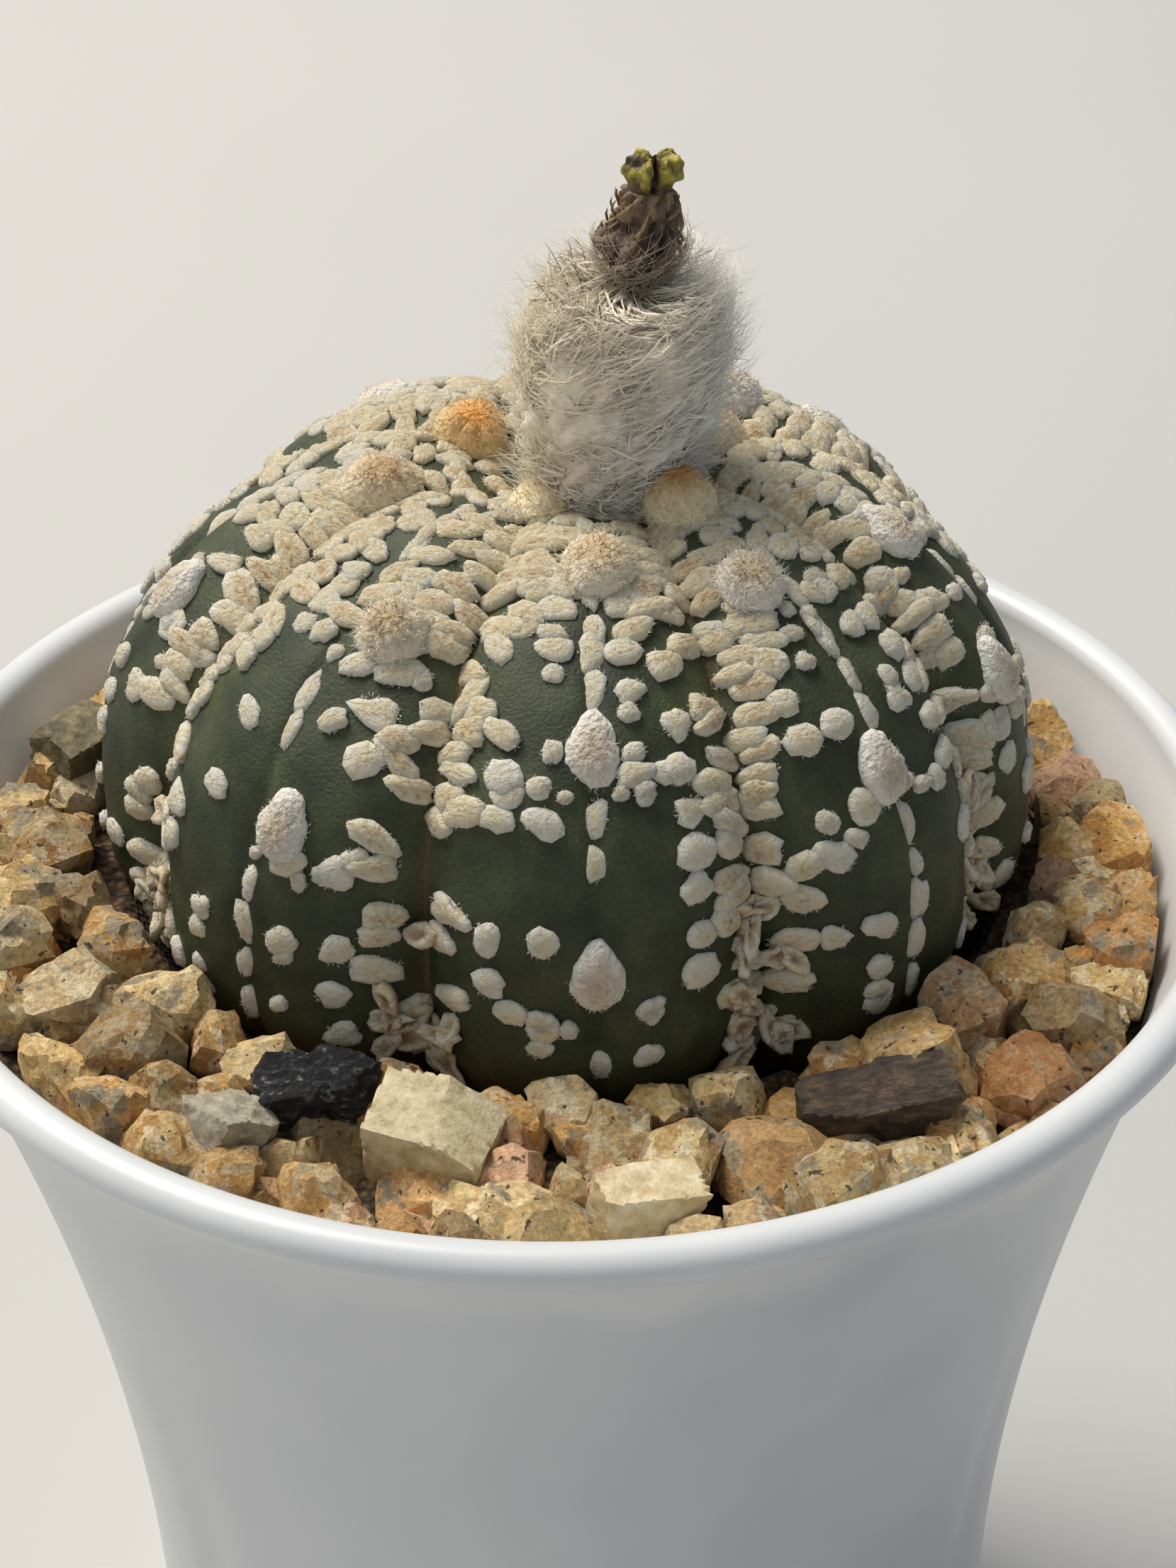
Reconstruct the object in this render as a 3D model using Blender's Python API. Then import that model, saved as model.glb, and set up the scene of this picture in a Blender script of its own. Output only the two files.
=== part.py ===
"""Star cactus in a round white plastic pot, dressed with angular grit.

Metres, +Z up. The origin is where the pot's axis meets the surface that it stands on.
The front of the plant faces -Y. Angles round the plant start at the front and turn towards +X.
"""

import math
import random

import bmesh
import bpy
import numpy as np
from mathutils import Euler, Vector

MM = 0.001
GAP = 0.3 * MM

# Pot
POT_HEIGHT = 84 * MM
RIM_RADIUS = 45 * MM
FOOT_RADIUS = 32 * MM
FLARE_DEPTH = 70 * MM
FLARE_WIDTH = 11.7 * MM
WALL = 1.3 * MM
FLOOR = 2.8 * MM
RECESS = 1.4 * MM
FOOT_RING_WIDTH = 4.5 * MM
FOOT_BEVEL = (0.9 * MM, 1.2 * MM)
WALL_LEVELS = (20 * MM, 34 * MM, 47 * MM, 58 * MM, 68 * MM)
LIP_HEIGHT = 2.2 * MM
POT_SIDES = 40
CREASES = 10
CREASE_PHASE = math.radians(5)
CREASE_DEPTH = 0.35 * MM
CREASE_START = 20 * MM
CREASE_FADE = 25 * MM
CREASE_SHARPNESS = 4
DRAIN_HOLES = 4
DRAIN_RADIUS = 1.9 * MM
DRAIN_CIRCLE = 15 * MM
# Section of the lip, from outside to inside: mm in from its edge and under its top
LIP_SECTION = ((0.5, 2.1), (0.0, 1.3), (0.5, 0.35), (1.45, 0.0), (2.4, 0.35), (2.9, 1.3))

# Soil and the bed under the grit
BED_BOTTOM = POT_HEIGHT - 14 * MM
BED_TOP = POT_HEIGHT - 7.0 * MM
POT_CLEARANCE = 0.35 * MM

# Plant. Bearings of the ribs are in degrees
RIB_BEARINGS = (3, 44, 82, 128, 175, 222, 269, 320)
RIBS = len(RIB_BEARINGS)
BODY_CENTRE = (0.3 * MM, 7.7 * MM, POT_HEIGHT - 2.8 * MM)
BODY_WIDTH = 31.8 * MM
BODY_LENGTH = 30 * MM
CROWN_RISE = 25.3 * MM
BASE_DROP = 15.5 * MM
ROUNDNESS = 2.38
CROWN_SHIFT = (1.0 * MM, 3.6 * MM)
CROWN_SHIFT_POWER = 4
CROWN_DIP = 5 * MM
CROWN_DIP_RADIUS = 9 * MM
GROOVE_DEPTH = 2.7 * MM
GROOVE_GAIN = 1.15
GROOVE_SHARPNESS = 3.2
GROOVE_FADE = (1.85, 2.65)
ROOT_RADIUS = 6.5 * MM
ROOT_LENGTH = 30 * MM
ROOT_TAPER = ((1.0, 0.35), (0.6, 0.7), (0.12, 1.0))

# The skin's cells: edges across a rib, from one groove (-1) to the next (1), and rows down it, as
# angles from the crown
CELL_EDGES = (-1.0, -0.72, -0.42, -0.14, 0.14, 0.42, 0.72)
MIDDLE_CELL = 3
ROW_STEP = 0.1
SKIN_ROWS = 17
BASE_TURNS = (1.85, 2.05, 2.35)

# Flecks of wool: shares of a cell that one covers, across and down the rib, and how often a cell
# has one at the crown and at the ground
FLECK_SEED = 5
FLECK_HEIGHT = 0.6 * MM
CHAIN = {"cells": (3,), "size": (0.42, 0.86), "often": (0.95, 0.85)}
FLANKS = {"cells": (1, 2, 4, 5), "size": (0.6, 0.62), "often": (0.75, 0.3)}
GROOVES = {"cells": (0, 6), "size": (0.78, 0.62), "often": (0.95, 0.6)}
FIRST_FLECK_ROW = 2
FLECK_SIZES = (0.85, 1.1)
FLECK_JITTER = 0.09
FLECK_SKEW = 0.12
CELL_MARGIN = 0.06

# Pads of wool: place across each rib and angle from the crown, the youngest first
PAD_WIDTH = 3.2 * MM
CROWN_PAD_WIDTH = 4.7 * MM
PAD_HEIGHT = 1.1 * MM
PAD_ROOT = 1.2 * MM
PAD_STRETCH = 1.12
PAD_ROOM = 0.13
RIB_PADS = (
    ((0.1, 0.44), (0.0, 0.90), (0.0, 1.44)),
    ((-0.3, 0.28), (-0.4, 0.56), (-0.1, 1.10)),
    ((0.9, 0.24), (-0.3, 0.68), (-0.4, 1.14)),
    ((0.0, 0.36), (0.0, 0.76), (0.0, 1.24)),
    ((0.0, 0.30), (0.0, 0.80), (0.0, 1.30)),
    ((0.7, 0.20), (0.0, 0.60), (0.0, 1.10)),
    ((0.7, 0.36), (0.4, 0.90)),
    ((0.9, 0.16), (0.4, 0.66), (0.2, 1.18)),
)

# Spent flower: radius and height over the rim, in mm
FLOWER_FOOT = (3.3 * MM, 8.0 * MM)
FLOWER_FOOT_RISE = 19.3 * MM
FLOWER_TOP_RISE = 43 * MM
FLOWER_LEAN = (3.2 * MM, 0.5 * MM)
LEAN_POWER = 1.3
WOOL_PROFILE = (
    (1.6, 19.3), (2.8, 20.9), (4.9, 22.9), (5.9, 25.4), (6.2, 28.4), (5.6, 31.0), (4.2, 33.2), (2.7, 34.2))
WELL_RADIUS = 2.05 * MM
WELL_RISE = 30 * MM
LOCKS = 90
LOCK_SEED = 21
LOCK_LENGTHS = (2.4 * MM, 3.4 * MM)
LOCK_WIDTH = 1.3 * MM
LOCK_ROOT = 1.2 * MM
LOCK_THICKNESS = 1 * MM
LOCK_RISES = (0.3, 1.5)
LOCK_SWAY = 0.2
GOLDEN_ANGLE = math.radians(137.508)
STALK_PROFILE = (
    (1.45, 30.3), (1.45, 34.6), (2.2, 35.6), (2.35, 36.9), (1.95, 38.2), (1.75, 39.4), (1.6, 40.1))
TWIST_PER_MM = 0.35
RIDGES = 0.13
KNOBS = 0.09
LOBES = 5
LOBE_DEPTH = 0.16
TIP_PROFILE = ((1.5, 40.4), (1.75, 41.2), (1.95, 42.4), (1.45, 42.6), (0.9, 41.7))

# Grit
HOLE_GAP = 0.6 * MM
GRIT_SEED = 11
GRIT_COUNT = 136
GRIT_TRIES = 20000
GRIT_SIZES = (1.9 * MM, 3.3 * MM)
GRIT_CLEARANCE = 1 * MM
GRIT_SPACING = 0.86
GRIT_OVERHANG = 0.35
CHIP_CORNERS = (0.55, 0.95)
CHIP_BUMP = 1.05
CHIP_BUMP_SHIFT = 0.3
CHIP_LONG = (0.95, 1.25)
CHIP_WIDE = (0.8, 1.0)
CHIP_TALL = 0.85
CHIP_TILT = 0.5
CHIP_RISE = (0.1, 0.45)
CHIP_LOWEST = BED_BOTTOM + 1 * MM
NEAREST_SHARE = 0.3
HEAP_RISE = 2.4 * MM
HEAP_BEARING = math.radians(255)

# Odd stones: name, place (mm from the pot's axis and above the bed), half sizes (mm), turns, seed,
# colour
SOCKET_GAP = 0.45 * MM
ODD_STONES = (
    ("black_stone", (-15.6, -24.2, 1.9), (4.1, 2.1, 1.9), (0.1, 0.1, 0.15), 3, "#26262A"),
    ("dark_stone", (18.4, -25.6, 1.8), (5.4, 2.3, 2.0), (0.1, -0.1, 0.1), 4, "#4B4038"),
    ("pale_block", (-8.4, -27.9, 2.0), (4.0, 3.0, 2.4), (0.1, 0.1, -0.2), 5, "#C2AE86"),
    ("grey_stone", (-20.6, -27.2, 1.3), (2.5, 2.2, 1.9), (0.0, 0.2, 0.6), 6, "#A69D86"),
    ("olive_stone", (-34.6, 13.0, 1.6), (3.2, 2.8, 2.4), (0.2, 0.0, 0.9), 7, "#6A6148"),
    ("quartz_stone", (4.2, -34.2, 1.6), (3.0, 2.4, 2.2), (0.2, 0.1, 0.4), 8, "#C9B590"),
)


def clear_scene():
    """Remove every object of the scene that the file opens with."""
    for thing in list(bpy.data.objects):
        bpy.data.objects.remove(thing, do_unlink=True)


def linear(hex_colour):
    """sRGB hex to linear RGBA."""
    values = [int(hex_colour[i:i + 2], 16) / 255 for i in (1, 3, 5)]
    return [v / 12.92 if v <= 0.04045 else ((v + 0.055) / 1.055) ** 2.4 for v in values] + [1.0]


def material(name, hex_colour, roughness):
    """A Principled BSDF with one colour and roughness."""
    made = bpy.data.materials.new(name)
    made.use_nodes = True
    shader = made.node_tree.nodes["Principled BSDF"]
    shader.inputs["Base Color"].default_value = linear(hex_colour)
    shader.inputs["Roughness"].default_value = roughness
    shader.inputs["Metallic"].default_value = 0.0
    return made


def add_object(name, mesh, finish=None):
    """Link a mesh to the scene as an object, with its finish."""
    thing = bpy.data.objects.new(name, mesh)
    bpy.context.scene.collection.objects.link(thing)
    if finish:
        mesh.materials.append(finish)
    return thing


def mesh_from_rings(name, rings, first_pole, last_pole):
    """Close a stack of equal rings of points with a fan of triangles at each end.

    The rings run so that the side quads (lower, next lower, next upper, upper) face outwards.
    """
    rings = np.asarray(rings, float)
    count, sides, _ = rings.shape
    points = np.vstack([rings.reshape(-1, 3), [first_pole], [last_pole]])
    first, last = count * sides, count * sides + 1
    faces = []
    for i in range(sides):
        j = (i + 1) % sides
        faces.append((first, j, i))
        for k in range(count - 1):
            low, high = k * sides, (k + 1) * sides
            faces.append((low + i, low + j, high + j, high + i))
        top = (count - 1) * sides
        faces.append((last, top + i, top + j))
    mesh = bpy.data.meshes.new(name)
    mesh.from_pydata(points.tolist(), [], faces)
    mesh.update()
    return mesh


def smooth_shade(mesh, angle=35):
    """Shade smooth, with edges sharper than the angle left crisp."""
    mesh.shade_smooth()
    mesh.set_sharp_from_angle(angle=math.radians(angle))


def round_angles(sides):
    return np.arange(sides) * 2 * math.pi / sides


def turned_rings(profile, sides):
    """One ring of points for each (radius, height) of the profile."""
    angles = round_angles(sides)
    return np.array([
        np.stack([r * np.cos(angles), r * np.sin(angles), np.full(sides, z)], -1) for r, z in profile
    ])


def hull_mesh(name, points):
    """The convex hull of a few points, as a mesh of triangles."""
    shell = bmesh.new()
    for point in points:
        shell.verts.new(point)
    result = bmesh.ops.convex_hull(shell, input=shell.verts)
    inside = [e for e in result["geom_interior"] if isinstance(e, bmesh.types.BMVert)]
    bmesh.ops.delete(shell, geom=inside, context="VERTS")
    bmesh.ops.recalc_face_normals(shell, faces=shell.faces)
    mesh = bpy.data.meshes.new(name)
    shell.to_mesh(mesh)
    shell.free()
    return mesh


def boolean(base, operation, others, solver="MANIFOLD"):
    """Join other objects to a base, or cut them from it, in one Boolean, and remove them."""
    group = bpy.data.collections.new("tools")
    bpy.context.scene.collection.children.link(group)
    for other in others:
        group.objects.link(other)
    step = base.modifiers.new("joined", "BOOLEAN")
    step.operation = operation
    step.operand_type = "COLLECTION"
    step.collection = group
    step.solver = solver
    bpy.context.view_layer.update()
    graph = bpy.context.evaluated_depsgraph_get()
    result = bpy.data.meshes.new_from_object(base.evaluated_get(graph))
    base.modifiers.remove(step)
    base.data = result
    for other in list(group.objects):
        bpy.data.objects.remove(other, do_unlink=True)
    bpy.data.collections.remove(group)


def keep_largest_piece(thing):
    """Drop every scrap that a cut left loose."""
    work = bmesh.new()
    work.from_mesh(thing.data)
    unseen = set(work.verts)
    pieces = []
    while unseen:
        piece = set()
        edge = [unseen.pop()]
        while edge:
            vert = edge.pop()
            piece.add(vert)
            for link in vert.link_edges:
                other = link.other_vert(vert)
                if other in unseen:
                    unseen.remove(other)
                    edge.append(other)
        pieces.append(piece)
    pieces.sort(key=len)
    for piece in pieces[:-1]:
        bmesh.ops.delete(work, geom=list(piece), context="VERTS")
    work.to_mesh(thing.data)
    work.free()


# The pot

def pot_radius(z):
    """Outer radius of the wall: a straight cup that opens towards the rim as a parabola."""
    depth = POT_HEIGHT - z
    return FOOT_RADIUS + FLARE_WIDTH * max(0.0, 1 - depth / FLARE_DEPTH) ** 2


def wall_levels():
    """Heights at which the wall's curve is sampled, from the floor to the lip."""
    return [FLOOR, *WALL_LEVELS, BED_TOP, POT_HEIGHT - LIP_HEIGHT]


def inner_radius(z):
    return pot_radius(z) - WALL


def clear_radius(z):
    """Radius that stays clear of the wall's flat facets at a height, and of those below it."""
    return inner_radius(min(z, BED_TOP)) * math.cos(math.pi / POT_SIDES) - POT_CLEARANCE


def crease(angle, z):
    """How far a crease pulls the wall in: nothing under the rim, its full depth near the foot."""
    fade = min(1.0, max(0.0, (POT_HEIGHT - CREASE_START - z) / CREASE_FADE))
    near = max(0.0, math.cos(CREASES * (angle - CREASE_PHASE)))
    return CREASE_DEPTH * fade * near ** CREASE_SHARPNESS


def make_pot(finish):
    """The pot: foot ring and recess, creased wall, rolled lip, inner wall and drilled floor."""
    levels = wall_levels()
    foot_inside = FOOT_RADIUS - FOOT_RING_WIDTH
    bevel_width, bevel_height = FOOT_BEVEL
    foot = [(foot_inside - RECESS / 2, RECESS), (foot_inside, 0.0), (FOOT_RADIUS - bevel_width, 0.0)]
    wall = [(pot_radius(z), z) for z in [bevel_height] + levels[1:]]
    lip = [(RIM_RADIUS - inset * MM, POT_HEIGHT - depth * MM) for inset, depth in LIP_SECTION]
    inner = [(inner_radius(z), z) for z in reversed(levels)]
    rings = turned_rings(foot + wall[:-1] + lip + inner, POT_SIDES)
    for k in range(len(foot), len(foot + wall) - 1):
        for i, angle in enumerate(round_angles(POT_SIDES)):
            rings[k, i, :2] *= 1 - crease(angle, rings[k, i, 2]) / wall[k - len(foot)][0]
    mesh = mesh_from_rings("pot", rings, (0, 0, RECESS), (0, 0, FLOOR))
    pot = add_object("pot", mesh, finish)
    drills = []
    for k in range(DRAIN_HOLES):
        angle = (k + 0.5) * 2 * math.pi / DRAIN_HOLES
        bpy.ops.mesh.primitive_cylinder_add(
            vertices=12, radius=DRAIN_RADIUS, depth=4 * FLOOR,
            location=(DRAIN_CIRCLE * math.cos(angle), DRAIN_CIRCLE * math.sin(angle), 0))
        drills.append(bpy.context.object)
    boolean(pot, "DIFFERENCE", drills, solver="EXACT")
    smooth_shade(pot.data)
    return pot


# The plant's skin

def body_point(angle, turn, groove=0.0, grow=0.0):
    """A point of the plant's skin.

    turn runs from 0 at the crown through pi/2 at the widest ring to pi at the base. The outline is
    a superellipse, with a dip at the crown. groove moves the point inwards, from 0 on a rib's back
    to 1 in a groove, and grow moves it outwards, both along the direction from the plant's axis.
    """
    power = 2 / ROUNDNESS
    across = math.sin(turn) ** power
    rise = math.copysign(abs(math.cos(turn)) ** power, math.cos(turn))
    height = CROWN_RISE if rise > 0 else BASE_DROP
    radius = across * BODY_WIDTH
    dip = CROWN_DIP * math.exp(-(radius / CROWN_DIP_RADIUS) ** 2) if rise > 0 else 0.0
    move = grow - groove * GROOVE_DEPTH * min(1.0, across * GROOVE_GAIN)
    radius = radius + move * math.sin(turn)
    z = rise * height - dip + move * math.cos(turn)
    shift = max(0.0, rise) ** CROWN_SHIFT_POWER
    x = BODY_CENTRE[0] + shift * CROWN_SHIFT[0] + radius * math.sin(angle)
    y = BODY_CENTRE[1] + shift * CROWN_SHIFT[1] - radius * math.cos(angle) * BODY_LENGTH / BODY_WIDTH
    return Vector((x, y, BODY_CENTRE[2] + z))


def groove_at(across_rib):
    """Depth of the groove over a rib: flat on its back, steep at its edge."""
    return abs(across_rib) ** GROOVE_SHARPNESS


def rib_angle(rib, across_rib):
    """Angle round the plant: -1 and 1 are the grooves half way to the rib's neighbours."""
    here = RIB_BEARINGS[rib]
    step = 1 if across_rib > 0 else -1
    gap = (step * (RIB_BEARINGS[(rib + step) % RIBS] - here)) % 360
    return math.radians(here + across_rib * gap / 2)


def skin(rib, across_rib, turn):
    """Point of the skin, its outward normal and the way down, across a rib from -1 to 1."""
    def at(s, t):
        return body_point(rib_angle(rib, s), t, groove_at(s))

    step = 0.02
    along = at(across_rib, turn + step) - at(across_rib, turn - step)
    side = at(min(1.0, across_rib + step), turn) - at(max(-1.0, across_rib - step), turn)
    normal = side.cross(-along).normalized()
    return at(across_rib, turn), normal, along.normalized()


def body_turns():
    """Heights of the skin's rings as angles, from near the crown to the foot of the body."""
    return [ROW_STEP * (k + 1) for k in range(SKIN_ROWS)] + list(BASE_TURNS)


def body_rings(offsets, grow=0.0, ribbed=True):
    """Rings of the plant from the tip of its taproot to its crown, at the same offsets on each rib."""
    columns = [(rib, s) for rib in range(RIBS) for s in offsets]
    angles = [rib_angle(rib, s) for rib, s in columns]
    neck = BODY_CENTRE[2] - BASE_DROP
    rings = []
    for share, size in ROOT_TAPER:
        radius = size * ROOT_RADIUS + grow
        rings.append([(
            BODY_CENTRE[0] + radius * math.sin(angle),
            BODY_CENTRE[1] - radius * math.cos(angle),
            neck - share * ROOT_LENGTH) for angle in angles])
    for turn in reversed(body_turns()):
        fade = np.interp(turn, GROOVE_FADE, (1.0, 0.0))
        grooves = [groove_at(s) * fade if ribbed else 0.0 for rib, s in columns]
        rings.append([body_point(a, turn, g, grow) for a, g in zip(angles, grooves)])
    return rings


def body_poles(grow=0.0):
    tip = BODY_CENTRE[2] - BASE_DROP - ROOT_LENGTH - 1.5 * MM - grow
    return (BODY_CENTRE[0], BODY_CENTRE[1], tip), body_point(0, 0, 0, grow)


def wool_dome(rib, across_rib, turn, width):
    """A closed round pad of wool on a rib, with its root sunk in."""
    point, normal, along = skin(rib, across_rib, turn)
    side = along.cross(normal)
    height = PAD_HEIGHT * width / PAD_WIDTH

    def ring(scale, level):
        half = scale * width / 2
        return [
            point + normal * level + along * (PAD_STRETCH * half * math.cos(t)) + side * (half * math.sin(t))
            for t in round_angles(8)
        ]

    points = [point - normal * PAD_ROOT, point + normal * height]
    points += ring(1.0, -0.12 * MM) + ring(0.72, 0.7 * height)
    return add_object("pad", hull_mesh("pad", points))


def wool_pads():
    """Pads down each rib, the youngest and largest by the crown."""
    return [
        wool_dome(rib, across_rib, turn, CROWN_PAD_WIDTH if k == 0 else PAD_WIDTH)
        for rib, places in enumerate(RIB_PADS) for k, (across_rib, turn) in enumerate(places)
    ]


def fleck_choice(draw, rib, cell, row):
    """Share of a cell that its fleck covers, or None for bare skin."""
    middle = ROW_STEP * (row + 1.5)
    kind = next(k for k in (CHAIN, FLANKS, GROOVES) if cell in k["cells"])
    often = np.interp(row, (0, SKIN_ROWS - 2), kind["often"])
    luck = draw.random()
    on_pad = cell == MIDDLE_CELL and any(abs(middle - turn) < PAD_ROOM for across_rib, turn in RIB_PADS[rib])
    if row < FIRST_FLECK_ROW or on_pad or luck > often:
        return None
    return kind["size"]


def fleck_points(draw, corners, size):
    """Four rim points on a cell and a peak over it; corners run low left, low right, high right,
    high left."""
    low_left, low_right, high_right, high_left = corners
    normal = (low_right - high_left).cross(high_right - low_left).normalized()
    cx = 0.5 + draw.uniform(-FLECK_JITTER, FLECK_JITTER)
    cy = 0.5 + draw.uniform(-FLECK_JITTER, FLECK_JITTER)
    width = size[0] * draw.uniform(*FLECK_SIZES)
    height = size[1] * draw.uniform(*FLECK_SIZES)
    skew = draw.uniform(-FLECK_SKEW, FLECK_SKEW)

    def at(u, v):
        u = min(1 - CELL_MARGIN, max(CELL_MARGIN, u))
        v = min(1 - CELL_MARGIN, max(CELL_MARGIN, v))
        return low_left.lerp(low_right, u).lerp(high_left.lerp(high_right, u), v)

    rim = [
        at(cx + i * width / 2 + j * skew, cy + j * height / 2 - i * skew)
        for i, j in ((-1, -1), (1, -1), (1, 1), (-1, 1))
    ]
    return rim, at(cx, cy) + normal * FLECK_HEIGHT


def make_body(finish):
    """The plant: ribbed skin in cells, many of which rise into a peak, which is a fleck of wool."""
    rings = [[Vector(p) for p in ring] for ring in body_rings(CELL_EDGES)]
    sides = len(rings[0])
    bottom, top = body_poles()
    points = [p for ring in rings for p in ring] + [Vector(bottom), Vector(top)]
    first, last = len(points) - 2, len(points) - 1
    top_ring = len(rings) - 1
    faces = []
    draw = random.Random(FLECK_SEED)
    for i in range(sides):
        j = (i + 1) % sides
        rib, cell = divmod(i, len(CELL_EDGES))
        faces.append((first, j, i))
        faces.append((last, top_ring * sides + i, top_ring * sides + j))
        for k in range(top_ring):
            quad = (k * sides + i, k * sides + j, (k + 1) * sides + j, (k + 1) * sides + i)
            row = top_ring - 1 - k
            size = fleck_choice(draw, rib, cell, row) if row < SKIN_ROWS - 1 else None
            if size is None:
                faces.append(quad)
                continue
            rim, peak = fleck_points(draw, [points[n] for n in quad], size)
            start = len(points)
            points += rim + [peak]
            for n in range(4):
                m = (n + 1) % 4
                faces.append((quad[n], quad[m], start + m, start + n))
                faces.append((start + n, start + m, start + 4))
    mesh = bpy.data.meshes.new("cactus_body")
    mesh.from_pydata(points, [], faces)
    mesh.update()
    body = add_object("cactus_body", mesh, finish)
    boolean(body, "UNION", wool_pads())
    smooth_shade(body.data, 28)
    return body


# What fills the pot

def plant_cutter():
    """The plant's outline without its grooves, a little larger: it cuts the plain hole for it."""
    rings = body_rings((-0.5, 0.0, 0.5), HOLE_GAP, ribbed=False)
    return add_object("hole", mesh_from_rings("hole", rings, *body_poles(HOLE_GAP)))


def make_soil(finish):
    """Potting mix from the pot's floor to the grit, with a plain hole for the plant's base."""
    levels = [z for z in wall_levels() if z < BED_BOTTOM] + [BED_BOTTOM - GAP]
    levels[0] = FLOOR + GAP
    profile = [(inner_radius(z) - POT_CLEARANCE, z) for z in levels]
    rings = turned_rings(profile, POT_SIDES)
    mesh = mesh_from_rings("soil", rings, (0, 0, levels[0]), (0, 0, levels[-1]))
    soil = add_object("soil", mesh, finish)
    hole = plant_cutter()
    boolean(soil, "DIFFERENCE", [hole])
    return soil


def outward(x, y, least):
    """Push a point out of the plant's outline, grown by least."""
    dx = x - BODY_CENTRE[0]
    dy = y - BODY_CENTRE[1]
    share = math.hypot(dx / (BODY_WIDTH + least), dy / (BODY_LENGTH + least))
    if share >= 1:
        return x, y
    share = max(share, 0.2)
    return BODY_CENTRE[0] + dx / share, BODY_CENTRE[1] + dy / share


def inward(x, y, most):
    """Pull a point back inside a circle round the pot's axis."""
    distance = math.hypot(x, y)
    if distance <= most:
        return x, y
    return x * most / distance, y * most / distance


def chip_points(draw, centre, semi, spin):
    """Eight jittered corners of a block and two bumps on it: an angular chip of stone."""
    turn = Euler(spin)
    points = []
    for sx in (-1, 1):
        for sy in (-1, 1):
            for sz in (-1, 1):
                points.append(Vector((
                    sx * semi[0] * draw.uniform(*CHIP_CORNERS),
                    sy * semi[1] * draw.uniform(*CHIP_CORNERS),
                    sz * semi[2] * draw.uniform(*CHIP_CORNERS))))
    over, beside = (draw.uniform(-CHIP_BUMP_SHIFT, CHIP_BUMP_SHIFT) for _ in range(2))
    points.append(Vector((over * semi[0], 0, semi[2] * CHIP_BUMP)))
    points.append(Vector((semi[0] * CHIP_BUMP, beside * semi[1], 0)))
    moved = []
    for point in points:
        point.rotate(turn)
        moved.append(point + Vector(centre))
    return moved


def heap(x, y):
    """How far the grit rises over its level: it is heaped towards the left of the back."""
    along = x * math.sin(HEAP_BEARING) - y * math.cos(HEAP_BEARING)
    return HEAP_RISE * max(0.0, along) / RIM_RADIUS


def grit_places():
    """Seeded places and sizes of the chips between the plant and the wall, none on another."""
    draw = random.Random(GRIT_SEED)
    wall = inner_radius(BED_TOP) - POT_CLEARANCE
    smallest, largest = GRIT_SIZES
    places = []
    for attempt in range(GRIT_TRIES):
        if len(places) == GRIT_COUNT:
            break
        angle = draw.uniform(0, 2 * math.pi)
        reach = wall * math.sqrt(draw.uniform(NEAREST_SHARE, 1.0))
        radius = draw.uniform(smallest, largest)
        x, y = reach * math.sin(angle), -reach * math.cos(angle)
        dx = x - BODY_CENTRE[0]
        dy = y - BODY_CENTRE[1]
        beyond = math.hypot(dx, dy) * (1 - 1 / max(0.01, math.hypot(dx / BODY_WIDTH, dy / BODY_LENGTH)))
        room = min(beyond - GRIT_CLEARANCE, wall - reach)
        if room < GRIT_OVERHANG * radius:
            continue
        if all(math.hypot(x - px, y - py) > GRIT_SPACING * (radius + pr) for px, py, pr in places):
            places.append((x, y, radius))
    return places


def make_gravel(finish, sockets):
    """A bed round the plant with the chips fused to it, and a socket for each odd stone."""
    top_radius = inner_radius(BED_TOP) - POT_CLEARANCE
    profile = [(inner_radius(BED_BOTTOM) - POT_CLEARANCE, BED_BOTTOM), (top_radius, BED_TOP)]
    rings = turned_rings(profile, POT_SIDES)
    for point in rings[-1]:
        point[2] += heap(point[0], point[1])
    mesh = mesh_from_rings("gravel", rings, (0, 0, BED_BOTTOM), (0, 0, BED_TOP))
    gravel = add_object("gravel", mesh, finish)
    hole = plant_cutter()
    boolean(gravel, "DIFFERENCE", [hole])
    draw = random.Random(GRIT_SEED + 1)
    chips = []
    for x, y, radius in grit_places():
        semi = (radius * draw.uniform(*CHIP_LONG), radius * draw.uniform(*CHIP_WIDE), radius * CHIP_TALL)
        tilts = [draw.uniform(-CHIP_TILT, CHIP_TILT) for _ in range(2)]
        spin = (*tilts, draw.uniform(0, 2 * math.pi))
        centre = (x, y, BED_TOP + heap(x, y) + draw.uniform(*CHIP_RISE) * radius)
        points = []
        for point in chip_points(draw, centre, semi, spin):
            px, py = outward(point.x, point.y, GRIT_CLEARANCE)
            px, py = inward(px, py, clear_radius(point.z))
            points.append((px, py, max(point.z, CHIP_LOWEST)))
        chips.append(add_object("chip", hull_mesh("chip", points)))
    boolean(gravel, "UNION", chips)
    boolean(gravel, "DIFFERENCE", sockets)
    keep_largest_piece(gravel)
    return gravel


def odd_stone(name, place, semi, spin, seed, finish):
    """One stone of another colour, and the slightly larger socket that it lies in."""
    draw = random.Random(seed)
    x, y, rise = (p * MM for p in place)
    centre = (x, y, BED_TOP + heap(x, y) + rise)
    half = [s * MM for s in semi]
    points = chip_points(draw, centre, half, spin)
    stone = add_object(name, hull_mesh(name, points), finish)
    draw = random.Random(seed)
    larger = [s + SOCKET_GAP for s in half]
    socket = add_object("socket", hull_mesh("socket", chip_points(draw, centre, larger, spin)))
    return stone, socket


# The spent flower

def flower_axis(z):
    """Centre of the flower's parts at a height: it leans to the right as it rises."""
    rise = z - POT_HEIGHT - FLOWER_FOOT_RISE
    share = max(0.0, rise) / (FLOWER_TOP_RISE - FLOWER_FOOT_RISE)
    x = FLOWER_FOOT[0] + FLOWER_LEAN[0] * share ** LEAN_POWER
    return x, FLOWER_FOOT[1] + FLOWER_LEAN[1] * share


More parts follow.
